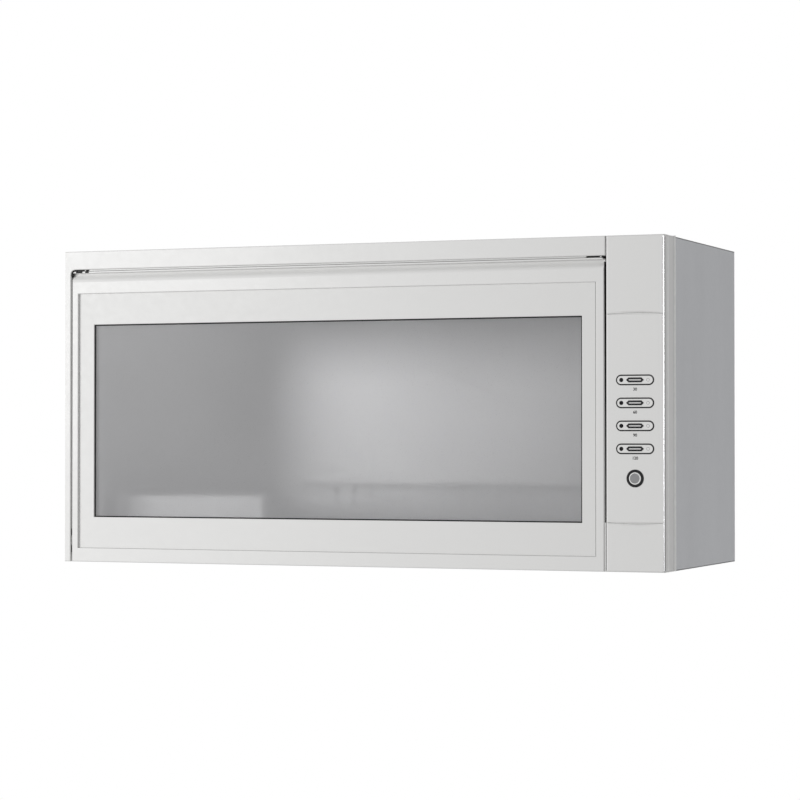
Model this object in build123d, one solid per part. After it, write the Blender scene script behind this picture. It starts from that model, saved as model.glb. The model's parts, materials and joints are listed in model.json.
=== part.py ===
from build123d import *
import os
from math import sqrt

# A wall-mounted dish dryer. Millimetres, +X to the right seen from the front, +Z up.
# The origin is the centre of the wall bolts, on the wall. "Depth" is counted back from the front face.

# Whole cabinet
WIDTH = 800.0
HEIGHT = 398.0
DEPTH = 320.0

# How far a cutting tool runs past the face it cuts
OVERRUN = 5.0

# Turns in degrees
QUARTER_TURN = 90.0
FULL_TURN = 360.0

# Front mouldings: control fascia on the right, top rail and left stile in one piece
MOULDING_DEPTH = 38.0
MOULDING_WALL = 2.0
MOULDING_EDGE_RADIUS = 1.2
FASCIA_WIDTH = 71.4
FASCIA_EDGE_RADIUS = 1.8
RAIL_HEIGHT = 23.5
RAIL_SEAM = 1.0
STILE_WIDTH = 8.5
STILE_SLOTS = 2
STILE_SLOT_RISE = 26.8
STILE_SLOT_PITCH = 21.5
STILE_SLOT_HEIGHT = 9.0
STILE_SLOT_LENGTH = 14.0
INNER_CORNER_RADIUS = 6.0
RAIL_LIP_SET_BACK = 3.0
RAIL_LIP_SHEET = 2.0
RAIL_LIP_CLEARANCE = 0.6

# Engraved curves above and below the keys
GROOVE_UPPER_SHARE = 0.7655
GROOVE_LOWER_SHARE = 0.146
GROOVE_TOOL_RADIUS = 2.2
GROOVE_BOW = 1.3
GROOVE_MIDDLE_LIFT = 0.9
GROOVE_END_LIFT = 1.9

# Gaps round the shut door
DOOR_LEFT_GAP = 2.2
DOOR_RIGHT_GAP = 2.6
DOOR_TOP_GAP = 2.2

# Door frame with its finger pull
DOOR_THICKNESS = 34.0
DOOR_WALL = 3.0
DOOR_CORNER_RADIUS = 4.0
DOOR_EDGE_RADIUS = 1.2
FRAME_LEFT = 8.5
FRAME_RIGHT = 10.0
FRAME_BOTTOM = 17.5
FRAME_TOP = 28.7
FRAME_RIM_RADIUS = 0.8
PULL_LIP = 2.0
PULL_HEIGHT = 12.0
PULL_DEPTH = 6.5

# Window bezel behind the door frame's front wall, glass and seal
BEZEL_LAP = 4.0
BEZEL_WALL = 2.5
BEZEL_EDGE_RADIUS = 0.8
BEZEL_LEFT = 21.8
BEZEL_RIGHT = 18.4
BEZEL_BOTTOM = 39.8
BEZEL_TOP = 39.9
GLASS_THICKNESS = 4.0
GLASS_LAP = 8.0
GLASS_SEAL_THICKNESS = 1.5
GLASS_SEAL_WIDTH = 5.0

# Inner door panel
DOOR_BACK_SHEET = 2.0
TUNNEL_SET_OUT = 3.0
TUNNEL_WALL = 1.5
DOOR_SCREW_SHARES = (0.08, 0.36, 0.64, 0.92)
DOOR_SCREW_BOSS_RADIUS = 4.0
SCREW_SHANK_RADIUS = 1.6
SCREW_SHANK_LENGTH = 10.0
SCREW_HEAD_RADIUS = 3.4
SCREW_HEAD_HEIGHT = 1.8
SCREW_CROSS_WIDTH = 0.8
SCREW_CROSS_LENGTH = 3.6
SCREW_CROSS_DEPTH = 1.0

# Hinge along the bottom edge of the door
HINGE_INSET = 8.0
HINGE_RISE = 6.5
HINGE_PIN_RADIUS = 2.5
HINGE_RUNNING_CLEARANCE = 0.05
HINGE_PIN_END_GAP = 1.0
HINGE_BUSH_RADIUS = 4.0
HINGE_BUSH_LENGTH = 12.0
HINGE_BUSH_FLANGE_RADIUS = 5.5
HINGE_BUSH_FLANGE = 1.0
HINGE_BOSS_RADIUS = 5.5
HINGE_BOSS_LENGTH = 14.0
HINGE_BRACKET_SHEET = 2.0
HINGE_BRACKET_GAP = 0.3
HINGE_BRACKET_RISE = 10.0
HINGE_BRACKET_REACH = 8.0
HINGE_WALL_CLEARANCE = 0.5
HINGE_CHEEK_HEIGHT = 58.0
HINGE_CHEEK_SET_BACK = 1.5
HINGE_CHEEK_GAP = 0.9

# Curved stays that stop the open door
STAY_RADIUS = 150.0
STAY_WIDTH = 12.0
STAY_SHEET = 3.0
STAY_INSET = 5.5
STAY_END_DEGREES = 1.0
STAY_LUG_DEGREES = 3.0
STAY_LUG_RISE = 6.0
STAY_FOOT_SHEET = 2.5
STAY_FOOT_HEIGHT = 26.0
STAY_FOOT_CLEARANCE = 1.5
STAY_SLOT_CLEARANCE = 2.0

# Snap catches in the top rail
CATCH_WIDTH = 18.5
CATCH_INSET = 4.3
CATCH_FRONT_DEPTH = 6.0
CATCH_DROP = 1.5
CATCH_RISE = 14.0
CATCH_CLEARANCE = 0.2
CATCH_EDGE_RADIUS = 0.6

# Sheet steel casing and chassis
CASING_SHEET = 1.0
CASING_BEAD_RADIUS = 1.0
CASING_FLANGE = 12.0
CHASSIS_SHEET = 2.0
CHASSIS_WINDOW_INSET = 12.0
CHASSIS_WINDOW_END = 40.0
INTAKE_SLOTS = 9
INTAKE_SLOT_LENGTH = 60.0
INTAKE_SLOT_WIDTH = 3.0
INTAKE_SLOT_PITCH = 8.0
EXHAUST_SLOTS = 10
EXHAUST_SLOT_LENGTH = 40.0
EXHAUST_SLOT_WIDTH = 3.0
EXHAUST_SLOT_PITCH = 9.0
EXHAUST_INSET = 110.0
EXHAUST_DEPTH_SHARE = 0.8

# Wall fixing
WALL_BOLT_SPACING = 600.0
WALL_BOLT_RISE = 260.0
WALL_BOLT_RADIUS = 4.5
HANGER_SHEET = 2.0
HANGER_HEIGHT = 40.0
HANGER_LENGTH = 660.0
BACK_SCREW_SHARES = (0.02, 0.26, 0.5, 0.74, 0.98)
BACK_SCREW_INSET = 7.0
BACK_SCREW_SHANK_RADIUS = 1.4
BACK_SCREW_HEAD_RADIUS = 2.4
BACK_SCREW_LENGTH = 7.0

# Drying chamber lined with stainless sheet
LINER_SHEET = 0.8
SIDE_CAVITY = 30.0
PARTITION_SETBACK = 21.5
FLOOR_CAVITY = 15.0
CEILING_CAVITY = 27.0
BACK_CAVITY = 20.0
MOUTH_LIP = 8.0
DOOR_SEAL_CLEARANCE = 0.3
OUTLET_SLOTS = 7
OUTLET_SLOT_LENGTH = 44.0
OUTLET_SLOT_WIDTH = 3.2
OUTLET_SLOT_PITCH = 8.0
RETURN_SLOTS = 6
RETURN_SLOT_LENGTH = 60.0
RETURN_SLOT_WIDTH = 3.2
RETURN_SLOT_PITCH = 9.0
RETURN_HEIGHT_SHARE = 0.82
RETURN_DEPTH_SHARE = 0.8

# Racks of welded wire and their runners
RACK_SIDE_CLEARANCE = 2.0
RACK_FRONT_GAP = 8.0
RACK_BACK_GAP = 12.0
RACK_RISE = 34.0
RACK_FRAME_RADIUS = 2.5
RACK_CORNER_RADIUS = 14.0
RACK_WIRE_RADIUS = 1.5
RACK_WIRE_PITCH = 24.0
RACK_BEARER_RADIUS = 2.0
RACK_BEARER_LIFT = 2.8
RACK_BEARER_SHARES = (0.11, 0.57, 0.8)
UPPER_RACK_HEIGHT_SHARE = 0.855
UPPER_RACK_FRONT_SHARE = 0.51
DIVIDERS = 17
DIVIDER_PITCH = 24.0
DIVIDER_END_GAP = 12.0
DIVIDER_HEIGHT = 46.0
DIVIDER_BEND_RADIUS = 14.0
RUNNER_SHEET = 2.0
RUNNER_HEIGHT = 9.0
RUNNER_CLEARANCE = 0.2
RUNNER_END_GAP = 2.0

# White box for chopsticks and cutlery
BOX_WIDTH = 217.0
BOX_DEPTH = 52.0
BOX_HEIGHT = 30.0
BOX_WALL = 2.0
BOX_CORNER_RADIUS = 8.0
BOX_SIDE_GAP = 2.0
BOX_FRONT_GAP = 7.0
BOX_SEAT_CLEARANCE = 0.2
BOX_SLOTS = 9
BOX_SLOT_LENGTH = 32.0
BOX_SLOT_WIDTH = 3.0
BOX_SLOT_PITCH = 20.0

# Drip tray on the chamber floor
TRAY_SIDE_GAP = 10.0
TRAY_FRONT_GAP = 6.0
TRAY_BACK_GAP = 8.0
TRAY_HEIGHT = 16.0
TRAY_WALL = 1.2
TRAY_CORNER_RADIUS = 10.0

# Lamp under the chamber ceiling
LAMP_LENGTH = 240.0
LAMP_BREADTH = 40.0
LAMP_FRONT_GAP = 15.0
LAMP_BASE_HEIGHT = 8.0
LAMP_SOCKET_LENGTH = 12.0
LAMP_SOCKET_BREADTH = 22.0
LAMP_TUBE_RADIUS = 7.0
LAMP_TUBE_DROP = 10.0
LAMP_CAP_RADIUS = 6.0
LAMP_CAP_LENGTH = 8.0
LAMP_COVER_WALL = 1.5
LAMP_COVER_HEIGHT = 21.0
LAMP_COVER_RADIUS = 8.0

# Blower, motor and heater in the compartment behind the controls
BLOWER_BACK_GAP = 80.0
BLOWER_RISE = 94.0
SCROLL_RADIUS = 54.0
SCROLL_WALL = 2.0
SCROLL_WIDTH = 46.0
SCROLL_SIDE_GAP = 11.0
SCROLL_MOUTH = 52.0
SCROLL_NECK = 70.0
SCROLL_INLET_RADIUS = 32.0
SADDLE_LENGTH = 40.0
SADDLE_BREADTH = 50.0
MOTOR_RADIUS = 28.0
MOTOR_LENGTH = 26.0
MOTOR_EDGE_RADIUS = 3.0
SHAFT_RADIUS = 4.0
SHAFT_RUNNING_CLEARANCE = 0.05
SHAFT_IN_MOTOR = 18.0
SHAFT_HOLE_CLEARANCE = 3.0
WHEEL_RADIUS = 46.0
WHEEL_INNER_RADIUS = 36.0
WHEEL_SIDE_GAP = 4.0
WHEEL_WALL = 2.0
WHEEL_RIM_WIDTH = 4.0
WHEEL_HUB_RADIUS = 9.0
WHEEL_HUB_LENGTH = 16.0
WHEEL_BLADES = 24
WHEEL_BLADE_SHEET = 1.2
DUCT_HEIGHT = 70.0
DUCT_WALL = 1.5
HEATER_GAP = 4.0
HEATER_THICKNESS = 16.0
HEATER_PLATE = 2.0
HEATER_FIN_SHEET = 0.8
HEATER_FINS = 12
THERMOSTAT_RADIUS = 9.0
THERMOSTAT_HEIGHT = 7.0
THERMOSTAT_TAB_LENGTH = 8.0
THERMOSTAT_TAB_BREADTH = 6.0
THERMOSTAT_TAB_SHEET = 0.8
THERMOSTAT_TAB_SPREAD = 5.0

# Keys on the fascia
KEYS = 4
KEY_PITCH = 27.1
KEY_MIDDLE_SHARE = 0.4675
KEY_LENGTH = 45.2
KEY_HEIGHT = 10.9
KEY_GAP = 0.9
KEY_PROUD = 0.5
KEY_EDGE_RADIUS = 0.6
KEY_LIP = 1.8
KEY_LIP_CLEARANCE = 0.3
KEY_LIP_SHEET = 1.4
KEY_STEM_RADIUS = 1.6
KEY_TRAVEL = 1.2
KEY_LENS_LENGTH = 21.7
KEY_LENS_HEIGHT = 5.8
KEY_LENS_POINT = 3.0
KEY_LENS_SET = 1.0
KEY_LENS_PROUD = 0.3
LED_OFFSET = 16.8
LED_RADIUS = 2.2
LED_CLEARANCE = 0.35

# Power button
POWER_DROP = 34.9
POWER_HOLE_RADIUS = 10.5
POWER_RING_INNER_RADIUS = 7.6
POWER_RING_PROUD = 0.4
POWER_RING_LIP = 2.0
POWER_RING_LIP_SHEET = 1.6
POWER_BUTTON_RADIUS = 7.25
POWER_BUTTON_PROUD = 0.9
POWER_BUTTON_EDGE_RADIUS = 1.4
POWER_BUTTON_LIP = 1.6
POWER_LIP_CLEARANCE = 0.4
POWER_TRAVEL = 1.6

# Control board and its switches
BOARD_DEPTH = 15.0
BOARD_SHEET = 1.6
BOARD_SIDE_GAP = 6.0
BOARD_END_GAP = 26.0
BOARD_POST_RADIUS = 3.0
BOARD_POST_INSET = 5.0
SWITCH_SIDE = 7.0
SWITCH_HEIGHT = 6.0
SWITCH_BORE_END_GAP = 1.4
SWITCH_BORE_CLEARANCE = 0.4
SWITCH_ENTRY = 1.0

# Power board on studs behind the controls
POWER_BOARD_FRONT = 90.0
POWER_BOARD_LENGTH = 120.0
POWER_BOARD_HEIGHT = 110.0
POWER_BOARD_TOP_GAP = 48.0
POWER_BOARD_STANDOFF = 9.0
STANDOFF_RADIUS = 3.0
STANDOFF_INSET = 7.0
TRANSFORMER_SIDE = 44.0
TRANSFORMER_HEIGHT = 34.0
RELAY_SIDE = 18.0
RELAY_HEIGHT = 16.0
CAPACITOR_RADIUS = 7.0
CAPACITOR_HEIGHT = 22.0
TERMINAL_LENGTH = 36.0
TERMINAL_BREADTH = 12.0
TERMINAL_HEIGHT = 14.0
COMPONENT_EDGE_GAP = 14.0

# Grommet for the mains lead in the top sheet
GROMMET_SIDE_GAP = 40.0
GROMMET_BACK_GAP = 34.0
GROMMET_BORE_RADIUS = 4.0
GROMMET_NECK_RADIUS = 7.0
GROMMET_FLANGE_RADIUS = 10.0
GROMMET_FLANGE = 2.0
GROMMET_EDGE_RADIUS = 0.8

# Places worked out from the sizes above
left, right = -WIDTH / 2, WIDTH / 2
bottom, top = -HEIGHT / 2, HEIGHT / 2


def y_at(depth):
    """The Y of a plane that lies this far behind the front face."""
    return depth - DEPTH


def inset(span, amount):
    return (span[0] + amount, span[1] - amount)


def grow(span, amount):
    return inset(span, -amount)


def middle(span):
    return (span[0] + span[1]) / 2


def share_of(span, share):
    return span[0] + (span[1] - span[0]) * share


fascia_x = (right - FASCIA_WIDTH, right)
stile_right = left + STILE_WIDTH
rail_bottom = top - RAIL_HEIGHT
rail_right = fascia_x[0] - RAIL_SEAM

door_x = (stile_right + DOOR_LEFT_GAP, fascia_x[0] - DOOR_RIGHT_GAP)
door_z = (bottom, rail_bottom - DOOR_TOP_GAP)
panel_x = (door_x[0] + FRAME_LEFT, door_x[1] - FRAME_RIGHT)
panel_z = (door_z[0] + FRAME_BOTTOM, door_z[1] - FRAME_TOP)
bezel_x = grow(panel_x, BEZEL_LAP)
bezel_z = grow(panel_z, BEZEL_LAP)
window_x = (panel_x[0] + BEZEL_LEFT, panel_x[1] - BEZEL_RIGHT)
window_z = (panel_z[0] + BEZEL_BOTTOM, panel_z[1] - BEZEL_TOP)
frame_back = DOOR_THICKNESS - DOOR_BACK_SHEET
glass_front = DOOR_WALL + BEZEL_WALL
glass_back = glass_front + GLASS_THICKNESS
seal_back = glass_back + GLASS_SEAL_THICKNESS
pull_top = door_z[1] - PULL_LIP
pull_bottom = pull_top - PULL_HEIGHT
pull_wall = PULL_DEPTH + DOOR_WALL

hinge_depth = DOOR_THICKNESS - HINGE_INSET
hinge_y = y_at(hinge_depth)
hinge_z = bottom + HINGE_RISE
cheek_x = (door_x[1], fascia_x[0] - HINGE_CHEEK_GAP)

chassis_front = MOULDING_DEPTH
chassis_back = MOULDING_DEPTH + CHASSIS_SHEET
casing_back_depth = DEPTH - CASING_SHEET

chamber_x = (left + SIDE_CAVITY, fascia_x[0] - PARTITION_SETBACK)
chamber_z = (bottom + FLOOR_CAVITY, top - CEILING_CAVITY)
chamber_back = DEPTH - BACK_CAVITY
mouth_x = inset(chamber_x, MOUTH_LIP)
mouth_z = inset(chamber_z, MOUTH_LIP)
partition_outside = chamber_x[1] + LINER_SHEET

rack_x = inset(mouth_x, RACK_SIDE_CLEARANCE)
rack_front = chassis_back + RACK_FRONT_GAP
rack_back = chamber_back - RACK_BACK_GAP
rack_z = chamber_z[0] + RACK_RISE
bearer_z = rack_z + RACK_BEARER_LIFT
upper_rack_front = share_of((rack_front, rack_back), UPPER_RACK_FRONT_SHARE)
upper_rack_z = share_of(chamber_z, UPPER_RACK_HEIGHT_SHARE)
divider_top = bearer_z + DIVIDER_HEIGHT
bearer_depths = [share_of((rack_front, rack_back), share) for share in RACK_BEARER_SHARES]
divider_depths = (bearer_depths[0], bearer_depths[1])
divider_x = [rack_x[1] - DIVIDER_END_GAP - DIVIDER_PITCH * k for k in range(DIVIDERS)]
box_x = (rack_x[0] + BOX_SIDE_GAP, rack_x[0] + BOX_SIDE_GAP + BOX_WIDTH)
box_depths = (rack_front + BOX_FRONT_GAP, rack_front + BOX_FRONT_GAP + BOX_DEPTH)
box_bottom = bearer_z + RACK_BEARER_RADIUS + BOX_SEAT_CLEARANCE

tray_x = inset(chamber_x, TRAY_SIDE_GAP)
tray_depths = (chassis_back + TRAY_FRONT_GAP, chamber_back - TRAY_BACK_GAP)
tray_top = chamber_z[0] + TRAY_HEIGHT

stay_places = (
    (door_x[0] + STAY_INSET, door_x[0] + STAY_INSET + STAY_SHEET),
    (door_x[1] - STAY_INSET - STAY_SHEET, door_x[1] - STAY_INSET),
)
stay_radii = (STAY_RADIUS - STAY_WIDTH / 2, STAY_RADIUS + STAY_WIDTH / 2)
bracket_left = left + MOULDING_WALL + HINGE_BRACKET_GAP
bracket_right = fascia_x[0] + MOULDING_WALL + HINGE_BRACKET_GAP
bracket_places = (
    (bracket_left, bracket_left + HINGE_BRACKET_SHEET),
    (bracket_right, bracket_right + HINGE_BRACKET_SHEET),
)
catch_left = door_x[0] + CATCH_INSET
catch_right = door_x[1] - CATCH_INSET
catch_places = ((catch_left, catch_left + CATCH_WIDTH), (catch_right - CATCH_WIDTH, catch_right))

key_x = middle(fascia_x)
key_middle_z = share_of((bottom, top), KEY_MIDDLE_SHARE)
key_zs = [key_middle_z + KEY_PITCH * ((KEYS - 1) / 2 - k) for k in range(KEYS)]
key_lip_front = MOULDING_WALL + KEY_LIP_CLEARANCE
key_lip_back = key_lip_front + KEY_LIP_SHEET
power_z = key_zs[-1] - POWER_DROP
power_lip_front = MOULDING_WALL + POWER_RING_LIP_SHEET + POWER_LIP_CLEARANCE
power_lip_back = power_lip_front + KEY_LIP_SHEET
switch_front = BOARD_DEPTH - SWITCH_HEIGHT
stem_end = switch_front + SWITCH_ENTRY
switch_bore_end = stem_end + max(KEY_TRAVEL, POWER_TRAVEL) + SWITCH_BORE_END_GAP
board_x = inset(fascia_x, BOARD_SIDE_GAP)
board_z = (power_z - BOARD_END_GAP, key_zs[0] + BOARD_END_GAP)

blower_depth = DEPTH - BLOWER_BACK_GAP
blower_y = y_at(blower_depth)
blower_z = bottom + BLOWER_RISE
scroll_right = right - CASING_SHEET - SCROLL_SIDE_GAP
scroll_x = (scroll_right - SCROLL_WIDTH, scroll_right)
mouth_depths = (blower_depth, blower_depth + SCROLL_MOUTH)
neck_top = blower_z + SCROLL_NECK
duct_z = (neck_top, neck_top + DUCT_HEIGHT)
duct_x = (partition_outside, scroll_right)
heater_x = (duct_x[0] + HEATER_GAP, duct_x[0] + HEATER_GAP + HEATER_THICKNESS)

power_board_x = partition_outside + POWER_BOARD_STANDOFF
power_board_face = power_board_x + BOARD_SHEET
power_board_depths = (POWER_BOARD_FRONT, POWER_BOARD_FRONT + POWER_BOARD_LENGTH)
power_board_top = top - POWER_BOARD_TOP_GAP
power_board_z = (power_board_top - POWER_BOARD_HEIGHT, power_board_top)

grommet_x = right - GROMMET_SIDE_GAP
grommet_y = -GROMMET_BACK_GAP


def block(x, y, z):
    """A box from its spans along X, Y and Z."""
    return Pos(middle(x), middle(y), middle(z)) * Box(x[1] - x[0], y[1] - y[0], z[1] - z[0])


def slab(x, depths, z):
    """A box whose middle span is counted back from the front face."""
    return block(x, (y_at(depths[0]), y_at(depths[1])), z)


def window(outer_x, outer_z, inner_x, inner_z, depths):
    """A rectangular ring standing in the XZ plane."""
    hole = slab(inner_x, grow(depths, OVERRUN), inner_z)
    return slab(outer_x, depths, outer_z) - hole


def rod(start, end, radius):
    """A round bar between two points."""
    way = Vector(*end) - Vector(*start)
    bar = Cylinder(radius, way.length, align=(Align.CENTER, Align.CENTER, Align.MIN))
    return Plane(origin=start, z_dir=way) * bar


def rod_x(x, y, z, radius):
    return rod((x[0], y, z), (x[1], y, z), radius)


def rod_y(x, depths, z, radius):
    return rod((x, y_at(depths[0]), z), (x, y_at(depths[1]), z), radius)


def rod_z(x, y, z, radius):
    return rod((x, y, z[0]), (x, y, z[1]), radius)


def facing_front(depth):
    """A plane parallel to the front face: local X is X, local Y is Z."""
    return Plane(origin=(0, y_at(depth), 0), x_dir=(1, 0, 0), z_dir=(0, -1, 0))


def facing_right(x):
    """A plane across the cabinet: local X is Y, local Y is Z."""
    return Plane(origin=(x, 0, 0), x_dir=(0, 1, 0), z_dir=(1, 0, 0))


def prism_y(sketch, depths):
    """A flat shape drawn as seen from the front, between two depths."""
    return extrude(facing_front(depths[1]) * sketch, amount=depths[1] - depths[0])


def prism_x(sketch, x):
    return extrude(facing_right(x[0]) * sketch, amount=x[1] - x[0])


def along(place, count, pitch):
    """Places of a row of equal steps centred on one place."""
    first = place - pitch * (count - 1) / 2
    return [first + pitch * k for k in range(count)]


def edge_near(shape, axis, x, z):
    """The edge along this axis that passes nearest to a place seen from the front."""
    def far(edge):
        return (edge.center().X - x) ** 2 + (edge.center().Z - z) ** 2

    return shape.edges().filter_by(axis).sort_by(far)[0]


def front_edges(shape):
    return shape.faces().sort_by(Axis.Y)[0].edges()


def rim_edges(shape, x, z):
    """Edges of the front face that lie round an opening of these spans."""
    near_x, near_z = grow(x, DOOR_WALL), grow(z, DOOR_WALL)
    return [edge for edge in front_edges(shape)
            if near_x[0] < edge.center().X < near_x[1] and near_z[0] < edge.center().Z < near_z[1]]


def front_frame():
    """Top rail and left stile, one hollow moulding open at the back, with a lip over the door."""
    depths = (0, MOULDING_DEPTH)
    rail = slab((left, rail_right), depths, (rail_bottom, top))
    stile = slab((left, stile_right), depths, (bottom, top))
    frame = rail + stile
    frame = fillet(edge_near(frame, Axis.Y, stile_right, rail_bottom), INNER_CORNER_RADIUS)
    frame = fillet(front_edges(frame), MOULDING_EDGE_RADIUS)
    hollow_depths = (MOULDING_WALL, MOULDING_DEPTH + OVERRUN)
    frame -= slab(inset((left, rail_right), MOULDING_WALL), hollow_depths,
                  inset((rail_bottom, top), MOULDING_WALL))
    frame -= slab(inset((left, stile_right), MOULDING_WALL), hollow_depths,
                  inset((bottom, top), MOULDING_WALL))
    frame -= rod_x((bracket_left, door_x[0]), hinge_y, hinge_z, HINGE_PIN_RADIUS + HINGE_WALL_CLEARANCE)
    slot_depths = (MOULDING_WALL, MOULDING_WALL + STILE_SLOT_LENGTH)
    for z in along(bottom + STILE_SLOT_RISE, STILE_SLOTS, STILE_SLOT_PITCH):
        frame -= slab((stile_right - MOULDING_WALL, stile_right), slot_depths,
                      (z - STILE_SLOT_HEIGHT / 2, z + STILE_SLOT_HEIGHT / 2))
    for place in catch_places:
        frame -= slab(grow(place, CATCH_CLEARANCE), (CATCH_FRONT_DEPTH - CATCH_CLEARANCE, MOULDING_DEPTH),
                      (rail_bottom - OVERRUN, rail_bottom + MOULDING_WALL))
    lip_x = inset((catch_places[0][1], catch_places[1][0]), CATCH_CLEARANCE)
    lip_depths = (RAIL_LIP_SET_BACK, RAIL_LIP_SET_BACK + RAIL_LIP_SHEET)
    return frame + slab(lip_x, lip_depths, (door_z[1] + RAIL_LIP_CLEARANCE, rail_bottom + MOULDING_WALL))


def groove(z, bow):
    """A shallow engraved curve, deepest in the middle of the fascia."""
    ends = inset(fascia_x, MOULDING_EDGE_RADIUS)
    end_y = y_at(-GROOVE_END_LIFT)
    path = ThreePointArc((ends[0], end_y, z), (key_x, y_at(-GROOVE_MIDDLE_LIFT), z + bow),
                         (ends[1], end_y, z))
    return sweep(Plane(origin=path @ 0, z_dir=path % 0) * Circle(GROOVE_TOOL_RADIUS), path=path)


def board_post_places():
    post_x = inset(board_x, BOARD_POST_INSET)
    post_z = inset(board_z, BOARD_POST_INSET)
    return [(x, z) for x in post_x for z in post_z]


def control_fascia():
    """The control panel, a hollow moulding with holes for the keys and posts for the board."""
    fascia = slab(fascia_x, (0, MOULDING_DEPTH), (bottom, top))
    fascia = fillet(front_edges(fascia), FASCIA_EDGE_RADIUS)
    fascia -= slab(inset(fascia_x, MOULDING_WALL), (MOULDING_WALL, MOULDING_DEPTH + OVERRUN),
                   inset((bottom, top), MOULDING_WALL))
    through = (-OVERRUN, MOULDING_WALL)
    for z in key_zs:
        hole = SlotOverall(KEY_LENGTH + KEY_GAP * 2, KEY_HEIGHT + KEY_GAP * 2)
        fascia -= prism_y(Pos(key_x, z) * hole, through)
    fascia -= rod_y(key_x, through, power_z, POWER_HOLE_RADIUS)
    fascia -= rod_x((door_x[1], bracket_places[1][1]), hinge_y, hinge_z,
                    HINGE_PIN_RADIUS + HINGE_WALL_CLEARANCE)
    fascia -= groove(share_of((bottom, top), GROOVE_UPPER_SHARE), GROOVE_BOW)
    fascia -= groove(share_of((bottom, top), GROOVE_LOWER_SHARE), -GROOVE_BOW)
    for x, z in board_post_places():
        fascia += rod_y(x, (MOULDING_WALL, BOARD_DEPTH), z, BOARD_POST_RADIUS)
    return fascia


def finger_pull():
    """The scooped groove under the top lip of the door, as a cutting tool."""
    low = (y_at(0), pull_bottom)
    high = (y_at(PULL_DEPTH), pull_top)
    curve = Spline(low, high, tangents=[(0, 1), (0, 1)])
    sides = Polyline(high, (y_at(-OVERRUN), pull_top), (y_at(-OVERRUN), pull_bottom), low)
    return prism_x(make_face(curve + sides), grow(door_x, OVERRUN))


def door_screw_places():
    upper = (panel_z[1] + door_z[1]) / 2
    lower = (panel_z[0] + door_z[0]) / 2
    return [(share_of(door_x, share), z) for share in DOOR_SCREW_SHARES for z in (lower, upper)]


def door_outline(depths):
    """The full outline of the door with its rounded top corners."""
    door = slab(door_x, depths, door_z)
    corners = [edge_near(door, Axis.Y, x, door_z[1]) for x in door_x]
    return fillet(corners, DOOR_CORNER_RADIUS)


def door_frame():
    """The outer door frame with its finger pull and a hinge cheek on the right, hollow behind."""
    frame = fillet(front_edges(door_outline((0, frame_back))), DOOR_EDGE_RADIUS)
    frame -= slab(panel_x, (-OVERRUN, frame_back + OVERRUN), panel_z)
    frame = fillet(rim_edges(frame, panel_x, panel_z), FRAME_RIM_RADIUS)
    hollow = slab(inset(door_x, DOOR_WALL), (DOOR_WALL, frame_back + OVERRUN), inset(door_z, DOOR_WALL))
    hollow -= slab(door_x, (0, pull_wall), (pull_bottom - DOOR_WALL, door_z[1]))
    frame -= hollow
    for x, z in door_screw_places():
        frame += rod_y(x, (DOOR_WALL, frame_back), z, DOOR_SCREW_BOSS_RADIUS)
        frame -= rod_y(x, (DOOR_THICKNESS - SCREW_SHANK_LENGTH, frame_back), z, SCREW_SHANK_RADIUS)
    frame -= finger_pull()
    for start, end in bush_spans(HINGE_BOSS_LENGTH):
        frame += rod_x((start, end), hinge_y, hinge_z, HINGE_BOSS_RADIUS)
        frame -= rod_x((start, end), hinge_y, hinge_z, HINGE_BUSH_RADIUS)
    frame += slab(cheek_x, (HINGE_CHEEK_SET_BACK, frame_back), (bottom, bottom + HINGE_CHEEK_HEIGHT))
    return frame - rod_x(cheek_x, hinge_y, hinge_z, HINGE_BUSH_FLANGE_RADIUS)


def bush_spans(length):
    """Spans along X that start at either side of the door and run this far into it."""
    return ((door_x[0], door_x[0] + length), (door_x[1] - length, door_x[1]))


def window_bezel():
    """The flat panel round the window, pressed against the frame's front wall by the glass."""
    bezel = window(bezel_x, bezel_z, window_x, window_z, (DOOR_WALL, glass_front))
    return fillet(rim_edges(bezel, window_x, window_z), BEZEL_EDGE_RADIUS)


def door_glass():
    return slab(grow(window_x, GLASS_LAP), (glass_front, glass_back), grow(window_z, GLASS_LAP))


def glass_seal():
    """Rubber ring between the glass and the inner door panel."""
    inner = GLASS_LAP - GLASS_SEAL_WIDTH
    return window(grow(window_x, GLASS_LAP), grow(window_z, GLASS_LAP), grow(window_x, inner),
                  grow(window_z, inner), (glass_back, seal_back))


def door_back():
    """The inner door panel with a tunnel that reaches forward to the glass."""
    opening_x = grow(window_x, TUNNEL_SET_OUT)
    opening_z = grow(window_z, TUNNEL_SET_OUT)
    panel = door_outline((frame_back, DOOR_THICKNESS))
    panel += slab(grow(opening_x, TUNNEL_WALL), (seal_back, frame_back), grow(opening_z, TUNNEL_WALL))
    panel -= slab(opening_x, (seal_back - OVERRUN, DOOR_THICKNESS + OVERRUN), opening_z)
    for x, z in door_screw_places():
        panel -= rod_y(x, (frame_back, DOOR_THICKNESS), z, SCREW_SHANK_RADIUS)
    return panel


def pan_screw(x, z):
    """A cross-head screw driven in from the back of the door."""
    head_back = DOOR_THICKNESS + SCREW_HEAD_HEIGHT
    screw = rod_y(x, (DOOR_THICKNESS - SCREW_SHANK_LENGTH, DOOR_THICKNESS), z, SCREW_SHANK_RADIUS)
    screw += rod_y(x, (DOOR_THICKNESS, head_back), z, SCREW_HEAD_RADIUS)
    cross = (head_back - SCREW_CROSS_DEPTH, head_back + OVERRUN)
    for long, short in ((SCREW_CROSS_LENGTH, SCREW_CROSS_WIDTH), (SCREW_CROSS_WIDTH, SCREW_CROSS_LENGTH)):
        screw -= slab((x - long / 2, x + long / 2), cross, (z - short / 2, z + short / 2))
    return screw


def door_screws():
    return [pan_screw(x, z) for x, z in door_screw_places()]


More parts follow.
